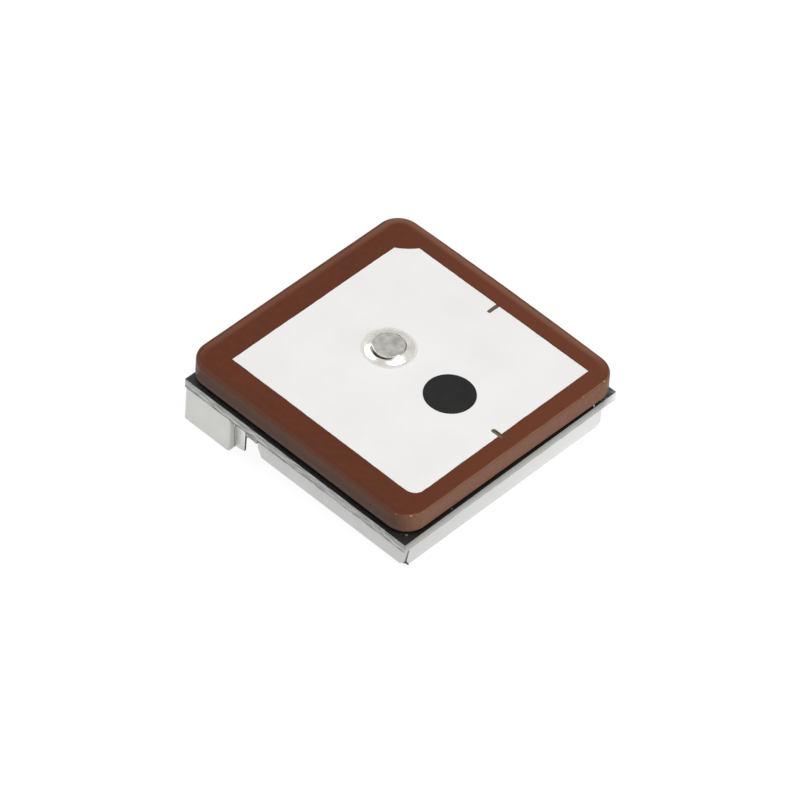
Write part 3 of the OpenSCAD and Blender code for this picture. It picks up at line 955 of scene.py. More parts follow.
# Bare sheared steel, partly real, partly painted shade: darker still for the shade on the tab's end.
SHEARED_AND_SHADED = Finish("sheared_edge_and_shade", (98, 96, 92), (84, 82, 79), cloud=0.4, grain=0.08, rough=0.6)
PAD = Finish("tinned_pad", (206, 204, 198), (190, 188, 182), cloud=0.5, grain=0.12, rough=0.3,
             metal=Metal.FULL)
PACKAGE = Finish("epoxy_package", (36, 36, 38), (30, 30, 32), cloud=0.8, grain=0.06, rough=0.62)
LID = Finish("plated_lid", (196, 188, 168), (182, 174, 154), cloud=0.7, grain=0.08, rough=0.35,
             relief=0.001, metal=Metal.FULL)
CHIP_BODY = Finish("chip_body", (150, 116, 84), (138, 104, 74), cloud=0.5, grain=0.06, relief=0.002)
BEAD_BODY = Finish("bead_body", (158, 158, 155), (146, 146, 143), cloud=0.5, grain=0.06, relief=0.002)
BEAD_END = Finish("bead_end", (172, 172, 168), (160, 160, 157), cloud=0.5, grain=0.12, rough=0.4,
                  relief=0.003, metal=Metal.DULL)


def is_level(face: bmesh.types.BMFace) -> bool:
    """Whether a face lies level."""
    return abs(face.normal.z) > LEVEL_FROM


def is_upright(face: bmesh.types.BMFace) -> bool:
    """Whether a face stands upright."""
    return abs(face.normal.z) < UPRIGHT_BELOW


def drop(edge: bmesh.types.BMEdge) -> float:
    """How much higher one end of an edge is than the other, in metres."""
    return abs(edge.verts[0].co.z - edge.verts[1].co.z)


def merged_copy(node: str) -> bmesh.types.BMesh:
    """Copies a CAD node's mesh, joins its triangles and makes its flat faces whole.

    Args:
        node: Name of the CAD node.

    Returns:
        A new mesh to work on.
    """
    mesh = bmesh.new()
    mesh.from_mesh(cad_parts[node].data)
    bmesh.ops.remove_doubles(mesh, verts=mesh.verts, dist=MERGE_WITHIN)
    bmesh.ops.dissolve_limit(mesh, angle_limit=FLAT_WITHIN, verts=mesh.verts, edges=mesh.edges)
    return mesh


def round_off(mesh: bmesh.types.BMesh, edges: list[bmesh.types.BMEdge], width: float, segments: int) -> None:
    """Bevels edges round.

    Args:
        mesh: The mesh to change.
        edges: The edges.
        width: Width of the bevel in metres.
        segments: Number of faces across a bevel.
    """
    bmesh.ops.bevel(mesh, geom=edges, offset=width, offset_type="OFFSET", segments=segments, profile=0.5,
                    affect="EDGES", clamp_overlap=True, material=-1)


def soften(mesh: bmesh.types.BMesh, width: float) -> None:
    """Takes a mesh's sharp edges off, with bevels of a width in metres."""
    sharp = [e for e in mesh.edges if e.is_manifold and e.calc_face_angle() > SHARP_FROM]
    round_off(mesh, sharp, width, SOFT_SEGMENTS)


def divide(mesh: bmesh.types.BMesh, edges: list[bmesh.types.BMEdge], step: float) -> None:
    """Cuts edges of about equal length into short steps.

    Args:
        mesh: The mesh to change.
        edges: Edges to cut, all of about one length.
        step: Length of a step in metres.
    """
    if edges:
        cuts = max(1, round(max(e.calc_length() for e in edges) / step) - 1)
        bmesh.ops.subdivide_edges(mesh, edges=edges, cuts=cuts, use_grid_fill=True)


def add_piece(name: str, mesh: bmesh.types.BMesh, finishes: list[Finish], nodes: list[str]) -> None:
    """Turns a mesh into a piece that stands for CAD nodes, or into a small one of its own.

    Args:
        name: Name of the piece.
        mesh: The finished mesh, which is used up.
        finishes: Finishes, in the order of the faces' material numbers.
        nodes: CAD nodes that the piece stands for, none for a piece of its own.
    """
    data = bpy.data.meshes.new(name)
    mesh.to_mesh(data)
    mesh.free()
    for finish in finishes:
        data.materials.append(finish.material())
    data.polygons.foreach_set("use_smooth", [True] * len(data.polygons))
    data.set_sharp_from_angle(angle=SMOOTH_BELOW)
    piece = bpy.data.objects.new(name, data)
    bpy.context.scene.collection.objects.link(piece)
    even = piece.modifiers.new("even_normals", "WEIGHTED_NORMAL")
    even.keep_sharp = True
    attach(piece, BODY)
    if nodes:
        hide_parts(*nodes)
    LOG.info("%s stands for %s with %d faces", name, ", ".join(nodes) or "itself", len(data.polygons))


def softened(name: str, node: str, finish: Finish, width_mm: float) -> None:
    """Carries a CAD node over with its edges taken off.

    Args:
        name: Name of the piece.
        node: CAD node that it stands for.
        finish: Its finish.
        width_mm: Width of the bevels.
    """
    mesh = merged_copy(node)
    soften(mesh, width_mm * MM)
    add_piece(name, mesh, [finish], [node])


@dataclass(frozen=True)
class EdgeChip:
    """A chip knocked out of the ceramic's rim; millimetres.

    The pale share is how far its colour shows, and the flatness is how much wider than high it is.
    """

    x: float
    y: float
    rim: Rim
    size: float
    pale: float
    depth: float = 0.03
    flatness: float = 2.0


@dataclass
class CeramicPatch:
    """The antenna: ceramic block, fired silver on both faces, tape and printed dot; millimetres."""

    step: float = 0.16
    tier: float = 0.22
    corner: float = 2.05
    rim_swell: float = 0.008
    rim_cell: float = 0.6
    chips: tuple[EdgeChip, ...] = (
        EdgeChip(11.98, -11.50, Rim.TOP, 0.19, 0.62, flatness=4.0),
        EdgeChip(11.00, -12.26, Rim.TOP, 0.11, 0.25),
        EdgeChip(12.36, -10.44, Rim.TOP, 0.13, 0.3, flatness=3.0),
        EdgeChip(12.26, -10.93, Rim.TOP, 0.14, 0.14, flatness=4.0),
        EdgeChip(11.83, -11.62, Rim.FLANK, 0.12, 0.2, flatness=1.0),
        EdgeChip(12.30, 10.85, Rim.TOP, 0.13, 0.4, flatness=1.2),
        EdgeChip(12.30, 8.25, Rim.TOP, 0.12, 0.15, flatness=1.2),
    )
    chip_ragged: float = 0.35
    chip_cell: float = 0.08
    chip_steepness: float = 2.5
    chip_cuts: tuple[int, int] = (2, 2)
    chip_finest: float = 0.02
    chip_margin: float = 1.3
    skew: float = 0.07
    skew_turn: float = 0.06
    flare: float = 0.08
    bow: float = 0.155
    print_swell: float = 0.022
    print_cell: float = 1.1
    print_step: float = 0.14
    print_fine_share: float = 0.5
    print_fine_cell: float = 0.3
    dot_swell: float = 0.0088
    narrow_at: float = 0.15
    narrow_half: float = 0.14
    narrow_length: float = 1.05
    narrow_spread: float = 1.36
    narrow_round: float = 0.15
    narrow_segments: int = 4
    narrow_tone: Colour = (106, 88, 76)
    wide_at: float = -0.33
    wide_half: float = 0.19
    wide_length: float = 0.73
    wide_overrun: float = 0.46
    wide_spread: float = 1.12
    wide_tone: Colour = (124, 108, 92)
    # Painted shade along the edges of the slots and the burr.
    slot_edge_shade: Colour = (88, 72, 60)
    slot_reach: float = 0.13
    slot_margin: float = 0.05
    slot_near: float = 2.0
    burr_half: Span = (0.17, 0.15)
    burr_tone: Colour = (144, 108, 94)
    burr_edge_shade: Colour = (116, 84, 70)
    ground_soft: float = 0.008
    tape_soft: float = 0.03
    scrap_at: Triple = (12.52, 9.55, 4.6)
    scrap_half: Triple = (0.07, 0.05, 0.13)
    scrap_ragged: float = 0.35
    scrap_cell: float = 0.8
    scrap_detail: int = 3

    def build(self) -> None:
        """Builds and dresses the antenna's pieces."""
        self.block()
        self.face_layer()
        softened("ground_silver", "ground_electrode", SILVER, self.ground_soft)
        softened("tape_pad", "adhesive_pad", TAPE, self.tape_soft)
        self.printed_dot()
        self.tape_scrap()

    def block(self) -> None:
        """The ceramic block with an uneven rim, its chips and its warp."""
        low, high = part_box("ceramic_substrate")
        mesh = merged_copy("ceramic_substrate")
        sides = [e for e in mesh.edges if e.calc_length() > LONG_EDGE
                 and not all(is_level(f) for f in e.link_faces)]
        divide(mesh, sides, self.step * MM)
        upright = [e for e in mesh.edges if drop(e) > (high.z - low.z) / 2]
        divide(mesh, upright, self.tier * MM)
        for chip in self.chips:
            self.refine(mesh, self.chip_centre(mesh, chip, low, high), chip.size * MM)
        mesh.normal_update()
        mark = mesh.verts.layers.float.new(CERAMIC.chip_mark)
        moves = {v: self.rim_swell * MM * (wander(v.co, self.rim_cell * MM, Seed.RIM) - 1.0)
                 for v in mesh.verts if not all(is_level(f) for f in v.link_faces)}
        for chip in self.chips:
            self.knock_out(chip, self.chip_centre(mesh, chip, low, high), moves, mark)
        for vert, move in moves.items():
            vert.co += vert.normal * move
        self.warp(mesh, low, high)
        finish = replace(CERAMIC, low=tuple(low), high=tuple(high), corner=self.corner, slots=self.slots())
        add_piece("ceramic_block", mesh, [finish], ["ceramic_substrate"])

    @staticmethod
    def chip_centre(mesh: bmesh.types.BMesh, chip: EdgeChip, low: Vector, high: Vector) -> Vector:
        """Where on the rim a chip is.

        Args:
            mesh: The block.
            chip: The chip.
            low: The block's lowest corner.
            high: The block's highest corner.

        Returns:
            The rim's point nearest to the chip's stated place.
        """
        aim = Vector((chip.x * MM, chip.y * MM, low.z + chip.rim.value * (high.z - low.z)))
        return min((v.co for v in mesh.verts), key=lambda co: (co - aim).length).copy()

    def refine(self, mesh: bmesh.types.BMesh, centre: Vector, size: float) -> None:
        """Makes the rim's faces finer around a chip.

        Args:
            mesh: The block.
            centre: The chip's centre.
            size: The chip's radius in metres.
        """
        for cuts in self.chip_cuts:
            near = [e for e in mesh.edges if e.calc_length() > self.chip_finest * MM
                    and any((v.co - centre).length < self.chip_margin * size for v in e.verts)
                    and not all(is_level(f) for f in e.link_faces)]
            bmesh.ops.subdivide_edges(mesh, edges=near, cuts=cuts, use_grid_fill=True)

    def knock_out(self, chip: EdgeChip, centre: Vector, moves: dict[bmesh.types.BMVert, float],
                  mark: bmesh.types.BMLayerItem) -> None:
        """Adds one chip to the moves of the rim's points, and marks where it shows pale.

        Args:
            chip: The chip.
            centre: The chip's centre.
            moves: How far each point of the rim moves outwards, in metres.
            mark: Layer of the chip mark.
        """
        for vert in moves:
            off = vert.co - centre
            off.z *= chip.flatness
            near = 1.0 - off.length / (chip.size * MM)
            ragged = near + self.chip_ragged * wander(vert.co, self.chip_cell * MM, Seed.CHIP)
            if near > 0.0 and ragged > 0.0:
                bite = min(1.0, self.chip_steepness * ragged)
                moves[vert] -= chip.depth * MM * bite
                vert[mark] = max(vert[mark], chip.pale * bite)

    def warp(self, mesh: bmesh.types.BMesh, low: Vector, high: Vector) -> None:
        """Warps the block a little, as firing does: its +X flank stands out and its +Y flank bows.

        Args:
            mesh: The block.
            low: The block's lowest corner.
            high: The block's highest corner.
        """
        middle = (low + high) / 2
        half = (high - low) / 2
        for vert in mesh.verts:
            out = (vert.co.x - low.x) / (high.x - low.x)
            turn = (vert.co.y - middle.y) / half.y
            foot = (high.z - vert.co.z) / (high.z - low.z) * max(0.0, turn)
            across = (vert.co.x - middle.x) / half.x
            vert.co.x += out * (self.skew + self.skew_turn * turn + self.flare * foot) * MM
            vert.co.y -= self.bow * MM * across ** 2 * max(0.0, turn) ** 2

    def slots(self) -> tuple[Slot, Slot, Slot]:
        """The two tuning slots as they were scraped, a little wider and longer than drawn.

        Returns:
            The narrow slot in the +Y edge, the wide one in the +X edge and the pale burr at its end.
        """
        low, high = (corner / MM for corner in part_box("top_electrode"))
        narrow = (self.narrow_length + self.slot_reach) / 2
        wide = (self.wide_length + self.slot_reach + self.wide_overrun) / 2
        wide_y = (low.y + high.y) / 2 + self.wide_at
        wide_end = high.x + self.wide_overrun
        return (
            Slot((low.x + high.x) / 2 + self.narrow_at, high.y - narrow,
                 self.narrow_half * self.narrow_spread + self.slot_margin, narrow + self.slot_margin,
                 self.narrow_tone, self.slot_edge_shade),
            Slot(wide_end - wide, wide_y, wide, self.wide_half * self.wide_spread + self.slot_margin,
                 self.wide_tone, self.slot_edge_shade),
            Slot(wide_end - self.burr_half[0], wide_y, *self.burr_half, self.burr_tone, self.burr_edge_shade),
        )

    def widen_slots(self, mesh: bmesh.types.BMesh) -> None:
        """Opens the silver's slots to the width and length that they were scraped to.

        Args:
            mesh: The silver on the face.
        """
        narrow, wide, _ = self.slots()
        for vert in mesh.verts:
            x, y = vert.co.x / MM, vert.co.y / MM
            if abs(x - narrow.x) < self.slot_near * self.narrow_half and y > narrow.y - narrow.half_y:
                vert.co.x = (narrow.x + (x - narrow.x) * self.narrow_spread) * MM
                if y < narrow.y:
                    vert.co.y -= self.slot_reach * MM
            if abs(y - wide.y) < self.slot_near * self.wide_half and x > wide.x - wide.half_x:
                vert.co.y = (wide.y + (y - wide.y) * self.wide_spread) * MM
                if x < wide.x:
                    vert.co.x -= self.slot_reach * MM
        ends = []
        for edge in mesh.edges:
            x, y = edge.verts[0].co.x / MM, edge.verts[0].co.y / MM
            at_end = narrow.y - narrow.half_y < y < narrow.y
            beside = abs(x - narrow.x) < self.slot_near * self.narrow_half
            if at_end and beside and drop(edge) > edge.calc_length() / 2:
                ends.append(edge)
        round_off(mesh, ends, self.narrow_round * MM, self.narrow_segments)

    def face_layer(self) -> None:
        """The silver on the face, with the slightly uneven edge of a print."""
        mesh = merged_copy("top_electrode")
        self.widen_slots(mesh)
        self.waver(mesh, self.print_swell)
        add_piece("silver_face", mesh, [SILVER], ["top_electrode"])

    def printed_dot(self) -> None:
        """The plain printed dot."""
        mesh = merged_copy("ink_dot")
        self.waver(mesh, self.dot_swell)
        add_piece("printed_dot", mesh, [INK], ["ink_dot"])

    def waver(self, mesh: bmesh.types.BMesh, swell: float) -> None:
        """Makes a thin layer's outline slightly uneven.

        Args:
            mesh: The layer.
            swell: How far the outline wanders, in millimetres.
        """
        for face in [f for f in mesh.faces if is_upright(f)]:
            level = [e for e in face.edges if drop(e) < MERGE_WITHIN]
            if min(e.calc_length() for e in level) > 2 * self.print_step * MM:
                divide(mesh, level, self.print_step * MM)
        mesh.normal_update()
        moves = []
        for vert in mesh.verts:
            sides = [f.normal for f in vert.link_faces if is_upright(f)]
            if sides:
                out = sum(sides, Vector()).normalized()
                flat = Vector((vert.co.x, vert.co.y, 0.0))
                fine = wander(flat, self.print_fine_cell * MM, Seed.FINE_PRINT)
                share = wander(flat, self.print_cell * MM, Seed.PRINT) + self.print_fine_share * fine
                moves.append((vert, out * (swell * MM * share)))
        for vert, move in moves:
            vert.co += move

    def tape_scrap(self) -> None:
        """A scrap of the tape that sticks out under the ceramic's +X flank."""
        mesh = bmesh.new()
        bmesh.ops.create_icosphere(mesh, subdivisions=self.scrap_detail, radius=1.0)
        for vert in mesh.verts:
            vert.co *= 1.0 + self.scrap_ragged * wander(vert.co, self.scrap_cell, Seed.SCRAP)
        size = Matrix.Diagonal([half * MM for half in self.scrap_half] + [1.0])
        place = Matrix.Translation(Vector(self.scrap_at) * MM)
        bmesh.ops.transform(mesh, matrix=place @ size, verts=mesh.verts)
        add_piece("tape_scrap", mesh, [SCRAP], [])


@dataclass
class AntennaFeed:
    """The feed: pin with a flat head, and the solder on both sides; millimetres."""

    pin_soft: float = 0.035
    pin_line_inset: float = 0.05
    joint_soft: float = 0.03
    turns: int = 144
    flank_points: int = 24
    shoulder: float = math.tan(math.radians(24))
    steepest: float = math.tan(math.radians(34))
    steep_from: float = 0.25
    toe_from: float = 0.62
    toe_fade: float = 0.74
    wobble: float = 0.05
    wobble_pitch: float = 1.6
    lump: float = 0.12
    lump_pitch: float = 2.2
    lump_sag: float = 0.5
    gap_angle: float = math.radians(-84)
    gap_width: float = math.radians(52)
    gap_share: float = 0.26
    gap_drop: float = 0.7
    crevice_shade_gain: float = 1.3

    def build(self) -> None:
        """Builds and dresses the feed's pieces."""
        low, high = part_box("feed_pin")
        middle, radius = (low + high) / 2, (high.x - low.x) / 2
        head = PinHead("pin_tin", (188, 186, 180), (154, 152, 146), cloud=0.6, grain=0.2, rough=0.42,
                       relief=0.012, metal=Metal.FULL, axis=tuple(middle),
                       rim_radius=radius / MM - self.pin_line_inset)
        softened("pin_head", "feed_pin", head, self.pin_soft)
        self.solder(middle, radius)
        softened("pin_joint", "feed_solder_bottom", SOLDER, self.joint_soft)

    def solder(self, middle: Vector, inner: float) -> None:
        """The solder drawn up the side of the head: a spun section, then made uneven.

        Args:
            middle: A point on the feed's axis.
            inner: Radius of the pin's head.
        """
        low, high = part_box("feed_solder_top")
        outer, height = (high.x - low.x) / 2, high.z - low.z
        mesh = bmesh.new()
        section = self.section(inner, outer, height)
        base = Vector((middle.x, middle.y, low.z))
        verts = [mesh.verts.new(base + point) for point in section]
        edges = [mesh.edges.new(pair) for pair in zip(verts, verts[1:] + verts[:1])]
        bmesh.ops.spin(mesh, geom=verts + edges, cent=base, axis=UP, dvec=Vector(), angle=math.tau,
                       steps=self.turns, use_merge=True)
        bmesh.ops.remove_doubles(mesh, verts=mesh.verts, dist=MERGE_WITHIN)
        bmesh.ops.recalc_face_normals(mesh, faces=mesh.faces)
        crevice_shade = mesh.verts.layers.float.new(SOLDER.crevice_shade_mark)
        toe = mesh.verts.layers.float.new(SOLDER.toe_mark)
        for vert in mesh.verts:
            self.flow(vert, crevice_shade, toe, base, inner, outer)
        add_piece("feed_solder", mesh, [SOLDER], ["feed_solder_top"])

    def section(self, inner: float, outer: float, height: float) -> list[Vector]:
        """The solder's section, from the head outwards: a steepening flank and a thin toe.

        Args:
            inner: Radius at the head.
            outer: Radius at the silver.
            height: Height at the head.

        Returns:
            The points in the plane of X and Z.
        """
        shares = [i / self.flank_points for i in range(self.flank_points + 1)]
        drops = [0.0]
        for start, end in zip(shares, shares[1:]):
            drops.append(drops[-1] + self.slope((start + end) / 2) * (end - start))
        points = [Vector((inner, 0.0, 0.0))]
        for share, fall in zip(shares, drops):
            points.append(Vector((inner + (outer - inner) * share, 0.0, height * (1.0 - fall / drops[-1]))))
        return points

    def slope(self, share: float) -> float:
        """How steep the solder is.

        Args:
            share: Share of the way from the head outwards.

        Returns:
            The slope, as a fall for each step outwards.
        """
        if share < self.steep_from:
            return self.shoulder + (self.steepest - self.shoulder) * share / self.steep_from
        if share < self.toe_from:
            return self.steepest
        return self.steepest * ((1.0 - share) / (1.0 - self.toe_from)) ** 2

    def flow(self, vert: bmesh.types.BMVert, crevice_shade: bmesh.types.BMLayerItem, toe: bmesh.types.BMLayerItem,
             base: Vector, inner: float, outer: float) -> None:
        """Moves one point of the solder as the metal flowed, and marks the painted crevice shade and the
        toe.

        Args:
            vert: The point.
            crevice_shade: Layer of the painted crevice shade mark.
            toe: Layer of the toe mark.
            base: Foot of the feed's axis on the silver.
            inner: Radius of the pin's head.
            outer: Radius at the silver.
        """
        flat = Vector((vert.co.x - base.x, vert.co.y - base.y, 0.0))
        away = (flat.length - inner) / (outer - inner)
        turn = flat.normalized()
        angle = math.atan2(flat.y, flat.x)
        reach = 1.0 + self.wobble * noise.noise(turn * self.wobble_pitch + UP)
        lump = 1.0 + self.lump * (noise.noise(turn * self.lump_pitch - UP) - self.lump_sag)
        off = abs((angle - self.gap_angle + math.pi) % math.tau - math.pi)
        gap = max(0.0, 1.0 - (off / self.gap_width) ** 2) * max(0.0, 1.0 - away / self.gap_share)
        place = base + turn * (inner + (flat.length - inner) * reach)
        place.z = base.z + (vert.co.z - base.z) * lump * (1.0 - self.gap_drop * gap)
        vert.co = place
        # Painted shade in the crevice, where the solder also dips.
        vert[crevice_shade] = min(1.0, self.crevice_shade_gain * gap)
        vert[toe] = min(1.0, max(0.0, (away - self.toe_fade) / (1.0 - self.toe_fade)))


@dataclass
class CircuitBoard:
    """The board: black mask on its faces, bare fibre on its routed edges, tinned pads; millimetres."""

    edge_soft: float = 0.03
    pad_soft: float = 0.012
    layers: int = 6
    step: float = 0.16
    tall: float = 0.5
    wide_area: float = 1.0
    side_area: float = 0.5
    outer_share: float = 0.4
    edge_turn: float = 0.5
    fuzz: float = 0.014
    fuzz_cell: float = 0.5
    fuzz_flatness: float = 4.0
    fuzz_margin: float = 0.05

    def build(self) -> None:
        """Builds and dresses the board's pieces."""
        low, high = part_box("circuit_board")
        edge = FibreEdge("fibre_edge", (148, 148, 146), (168, 168, 165), cloud=0.5, grain=0.1, rough=0.75,
                         relief=0.01, stretch=(0.4, 0.4, 7.0), low=low.z, high=high.z, bleached_end=high.y)
        mask = BoardMask("black_mask", (25, 25, 23), (32, 33, 31), cloud=6.0, grain=0.2, rough=0.42,
                         specular=0.4, scuff_at=tuple(high), middle=tuple((low + high) / 2))
        mesh = merged_copy("circuit_board")
        soften(mesh, self.edge_soft * MM)
        self.lay_up(mesh, low, high)
        for face in mesh.faces:
            face.material_index = 1 if abs(face.normal.z) < self.edge_turn else 0
        self.fray(mesh, low, high)
        add_piece("board_slab", mesh, [mask, edge], ["circuit_board"])
        softened("connector_pads", "solder_pads", PAD, self.pad_soft)

    def lay_up(self, mesh: bmesh.types.BMesh, low: Vector, high: Vector) -> None:
        """Divides the board's edges into layers and steps.

        Args:
            mesh: The board.
            low: The board's lowest corner.
            high: The board's highest corner.
        """
        tall = [e for e in mesh.edges if drop(e) > self.tall * MM
                and all(f.calc_area() > self.wide_area * MM * MM or len(f.verts) == 4 for f in e.link_faces)
                and max(abs(e.verts[0].co.x), abs(e.verts[0].co.y)) > self.outer_share * (high.x - low.x)]
        divide(mesh, tall, (high.z - low.z) / self.layers)
        sides = {f for f in mesh.faces if is_upright(f) and f.calc_area() > self.side_area * MM * MM}
        level = [e for e in mesh.edges if e.calc_length() > LONG_EDGE and not sides.isdisjoint(e.link_faces)]
        divide(mesh, level, self.step * MM)
        mesh.normal_update()

    def fray(self, mesh: bmesh.types.BMesh, low: Vector, high: Vector) -> None:
        """Frays the board's edges, inwards only.

        Args:
            mesh: The board.
            low: The board's lowest corner.
            high: The board's highest corner.
        """
        margin = self.fuzz_margin * MM
        moves = []
        for vert in mesh.verts:
            between = low.z + margin < vert.co.z < high.z - margin
            if between and all(is_upright(f) for f in vert.link_faces):
                stretched = Vector((vert.co.x, vert.co.y, self.fuzz_flatness * vert.co.z))
                share = wander(stretched, self.fuzz_cell * MM, Seed.FIBRE) - 1.0
                moves.append((vert, self.fuzz * MM * share))
        for vert, move in moves:
            vert.co += vert.normal * move


@dataclass
class ShieldCan:
    """The folded tinned can over the receiver; millimetres."""

    edge_soft: float = 0.03
    sheet: float = 0.2
    seam_past: float = 0.18
    cut_turn: float = 0.5
    upright_turn: float = 0.8
    # Place and size of the dark block that paints the shade inside the front corner.
    shade_block_inset: Triple = (0.38, 0.505, 0.095)
    shade_block_size: Triple = (0.28, 0.11, 0.09)
    shade_block_soft: float = 0.02

    def build(self) -> None:
        """Builds and dresses the can."""
        low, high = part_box("shield_can")
        mesh = merged_copy("shield_can")
        soften(mesh, self.edge_soft * MM)
        for face in mesh.faces:
            face.material_index = 1 if self.is_cut(face, low, high) else 0
        add_piece("can_sheet", mesh, [SHEET, CUT_SHEET_AND_SHADE], ["shield_can"])
        # Painted shade: a dark block inside the front corner.
        self.corner_shade_block(low, high)

    def is_cut(self, face: bmesh.types.BMFace, low: Vector, high: Vector) -> bool:
        """Whether a face is a cut end of a wall, where the sheet shows bare and is painted darker as shade.

        Args:
            face: A face of the can.
            low: The can's lowest corner.
            high: The can's highest corner.

        Returns:
            True for a cut end.
        """
        middle, normal = face.calc_center_median(), face.normal
        thick = self.sheet * MM
        flank = high.x - self.seam_past * MM
        in_y_wall = min(middle.y - low.y, high.y - middle.y) < thick
        in_x_wall = middle.x - low.x < thick or abs(flank - middle.x) < thick
        y_end = in_y_wall and abs(normal.x) > self.cut_turn
        x_end = in_x_wall and not in_y_wall and abs(normal.y) > self.cut_turn
        return abs(normal.z) < self.upright_turn and (y_end or x_end)

    def corner_shade_block(self, low: Vector, high: Vector) -> None:
        """A dark block inside the front corner: painted shade that shows in the front seam's foot.

        Args:
            low: The can's lowest corner.
            high: The can's highest corner.
        """
        mesh = bmesh.new()
        bmesh.ops.create_cube(mesh, size=1.0)
        inset = Vector(self.shade_block_inset) * MM
        middle = Vector((high.x - inset.x, low.y + inset.y, low.z + inset.z))
        size = Matrix.Diagonal([side * MM for side in self.shade_block_size] + [1.0])
        bmesh.ops.transform(mesh, matrix=Matrix.Translation(middle) @ size, verts=mesh.verts)
        soften(mesh, self.shade_block_soft * MM)
        add_piece("can_corner_shade_block", mesh, [CORNER_SHADE], [])


@dataclass
class WireConnector:
    """The side-entry connector: moulded housing, contacts and fixing tabs; millimetres."""

    housing_soft: float = 0.06
    metal_soft: float = 0.025
    end_turn: float = 0.8

    def build(self) -> None:
        """Builds and dresses the connector's pieces."""
        low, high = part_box("connector_housing")
        tab_low, tab_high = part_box("connector_tab_1")
        nylon = MouldedNylon("moulded_nylon", (222, 222, 219), (216, 216, 213), cloud=2.0, grain=0.1,
                             rough=0.55, relief=0.003, specular=0.35, tab_y=tab_low.y, low=low.z,
                             high=high.z)
        softened("housing_moulding", "connector_housing", nylon, self.housing_soft)
        plate = TabPlate("plated_tab", (234, 234, 231), (218, 218, 215), cloud=0.8, grain=0.1, rough=0.32,
                         relief=0.002, metal=Metal.DULL, root=high.x, end=tab_high.x, low=tab_low.z,
                         high=tab_high.z)
        for node in sorted(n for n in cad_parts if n.startswith("connector_contact")):
            softened(node.replace("connector_", "plug_"), node, CONTACT, self.metal_soft)
        for node in ("connector_tab_1", "connector_tab_2"):
            self.fixing_tab(node, plate)

    def fixing_tab(self, node: str, plate: Finish) -> None:
        """A plated tab whose sheared end is bare and painted darker as shade.

        Args:
            node: CAD node of the tab.
            plate: Finish of its faces.
        """
        mesh = merged_copy(node)
        soften(mesh, self.metal_soft * MM)
        for face in mesh.faces:
            face.material_index = 1 if face.normal.x > self.end_turn else 0
        add_piece(node.replace("connector_", "fixing_"), mesh, [plate, SHEARED_AND_SHADED], [node])


@dataclass
class ReceiverParts:
    """The parts under the board; millimetres."""

    package_soft: float = 0.05
    regulator_soft: float = 0.025
    lead_reach: float = 0.5
    cap_soft: float = 0.04
    end_share: float = 0.25

    def build(self) -> None:
        """Builds and dresses the receiver's parts."""
        for node in ("gnss_chip", "low_noise_amplifier", "flash_memory"):
            softened(node + "_package", node, PACKAGE, self.package_soft)
        for node in ("saw_filter", "tcxo", "rtc_crystal"):
            softened(node + "_package", node, LID, self.package_soft)
        self.regulator()
        for node in sorted(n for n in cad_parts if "capacitor" in n or n == "matching_inductor"):
            self.end_capped(node, CHIP_BODY, PAD)
        self.end_capped("supply_bead", BEAD_BODY, BEAD_END)

    def regulator(self) -> None:
        """The regulator: a moulded body and tinned leads."""
        low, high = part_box("voltage_regulator")
        mesh = merged_copy("voltage_regulator")
        soften(mesh, self.regulator_soft * MM)
        reach = self.lead_reach * MM
        for face in mesh.faces:
            middle = face.calc_center_median()
            face.material_index = 0 if low.y + reach < middle.y < high.y - reach else 1
        add_piece("regulator_package", mesh, [PACKAGE, PAD], ["voltage_regulator"])

    def end_capped(self, node: str, body: Finish, end: Finish) -> None:
        """A chip part with tinned ends.

        Args:
            node: CAD node of the part.
            body: Finish of its middle.
            end: Finish of its ends.
        """
        low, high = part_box(node)
        length = high.x - low.x
        mesh = merged_copy(node)
        soften(mesh, self.cap_soft * MM * min(1.0, length / MM))
        for face in mesh.faces:
            share = (face.calc_center_median().x - low.x) / length
            face.material_index = 0 if self.end_share < share < 1.0 - self.end_share else 1
        add_piece(node + "_part", mesh, [body, end], [node])


@dataclass(frozen=True)
class Softbox:
    """A soft lamp: where it hangs, seen from the module, its size and its light.

    Sizes are in metres. The level is the brightness of white paper that faces the lamp.
    """

    name: str
    towards: Triple
    distance: float
    size: float
    level: float

    def hang(self, aim: Vector) -> None:
        """Hangs the lamp so that it faces the module.

        Args:
            aim: The point that it faces.
        """
        away = Vector(self.towards).normalized()
        data = bpy.data.lights.new(self.name, "AREA")
        data.shape = "SQUARE"
        data.size = self.size
        data.energy = self.level * (math.pi * self.distance) ** 2
        lamp = bpy.data.objects.new(self.name, data)
        lamp.location = aim + away * self.distance
        lamp.rotation_mode = "QUATERNION"
        lamp.rotation_quaternion = away.to_track_quat("Z", "Y")
        bpy.context.scene.collection.objects.link(lamp)
        LOG.info("%s hangs %.2f m away", self.name, self.distance)


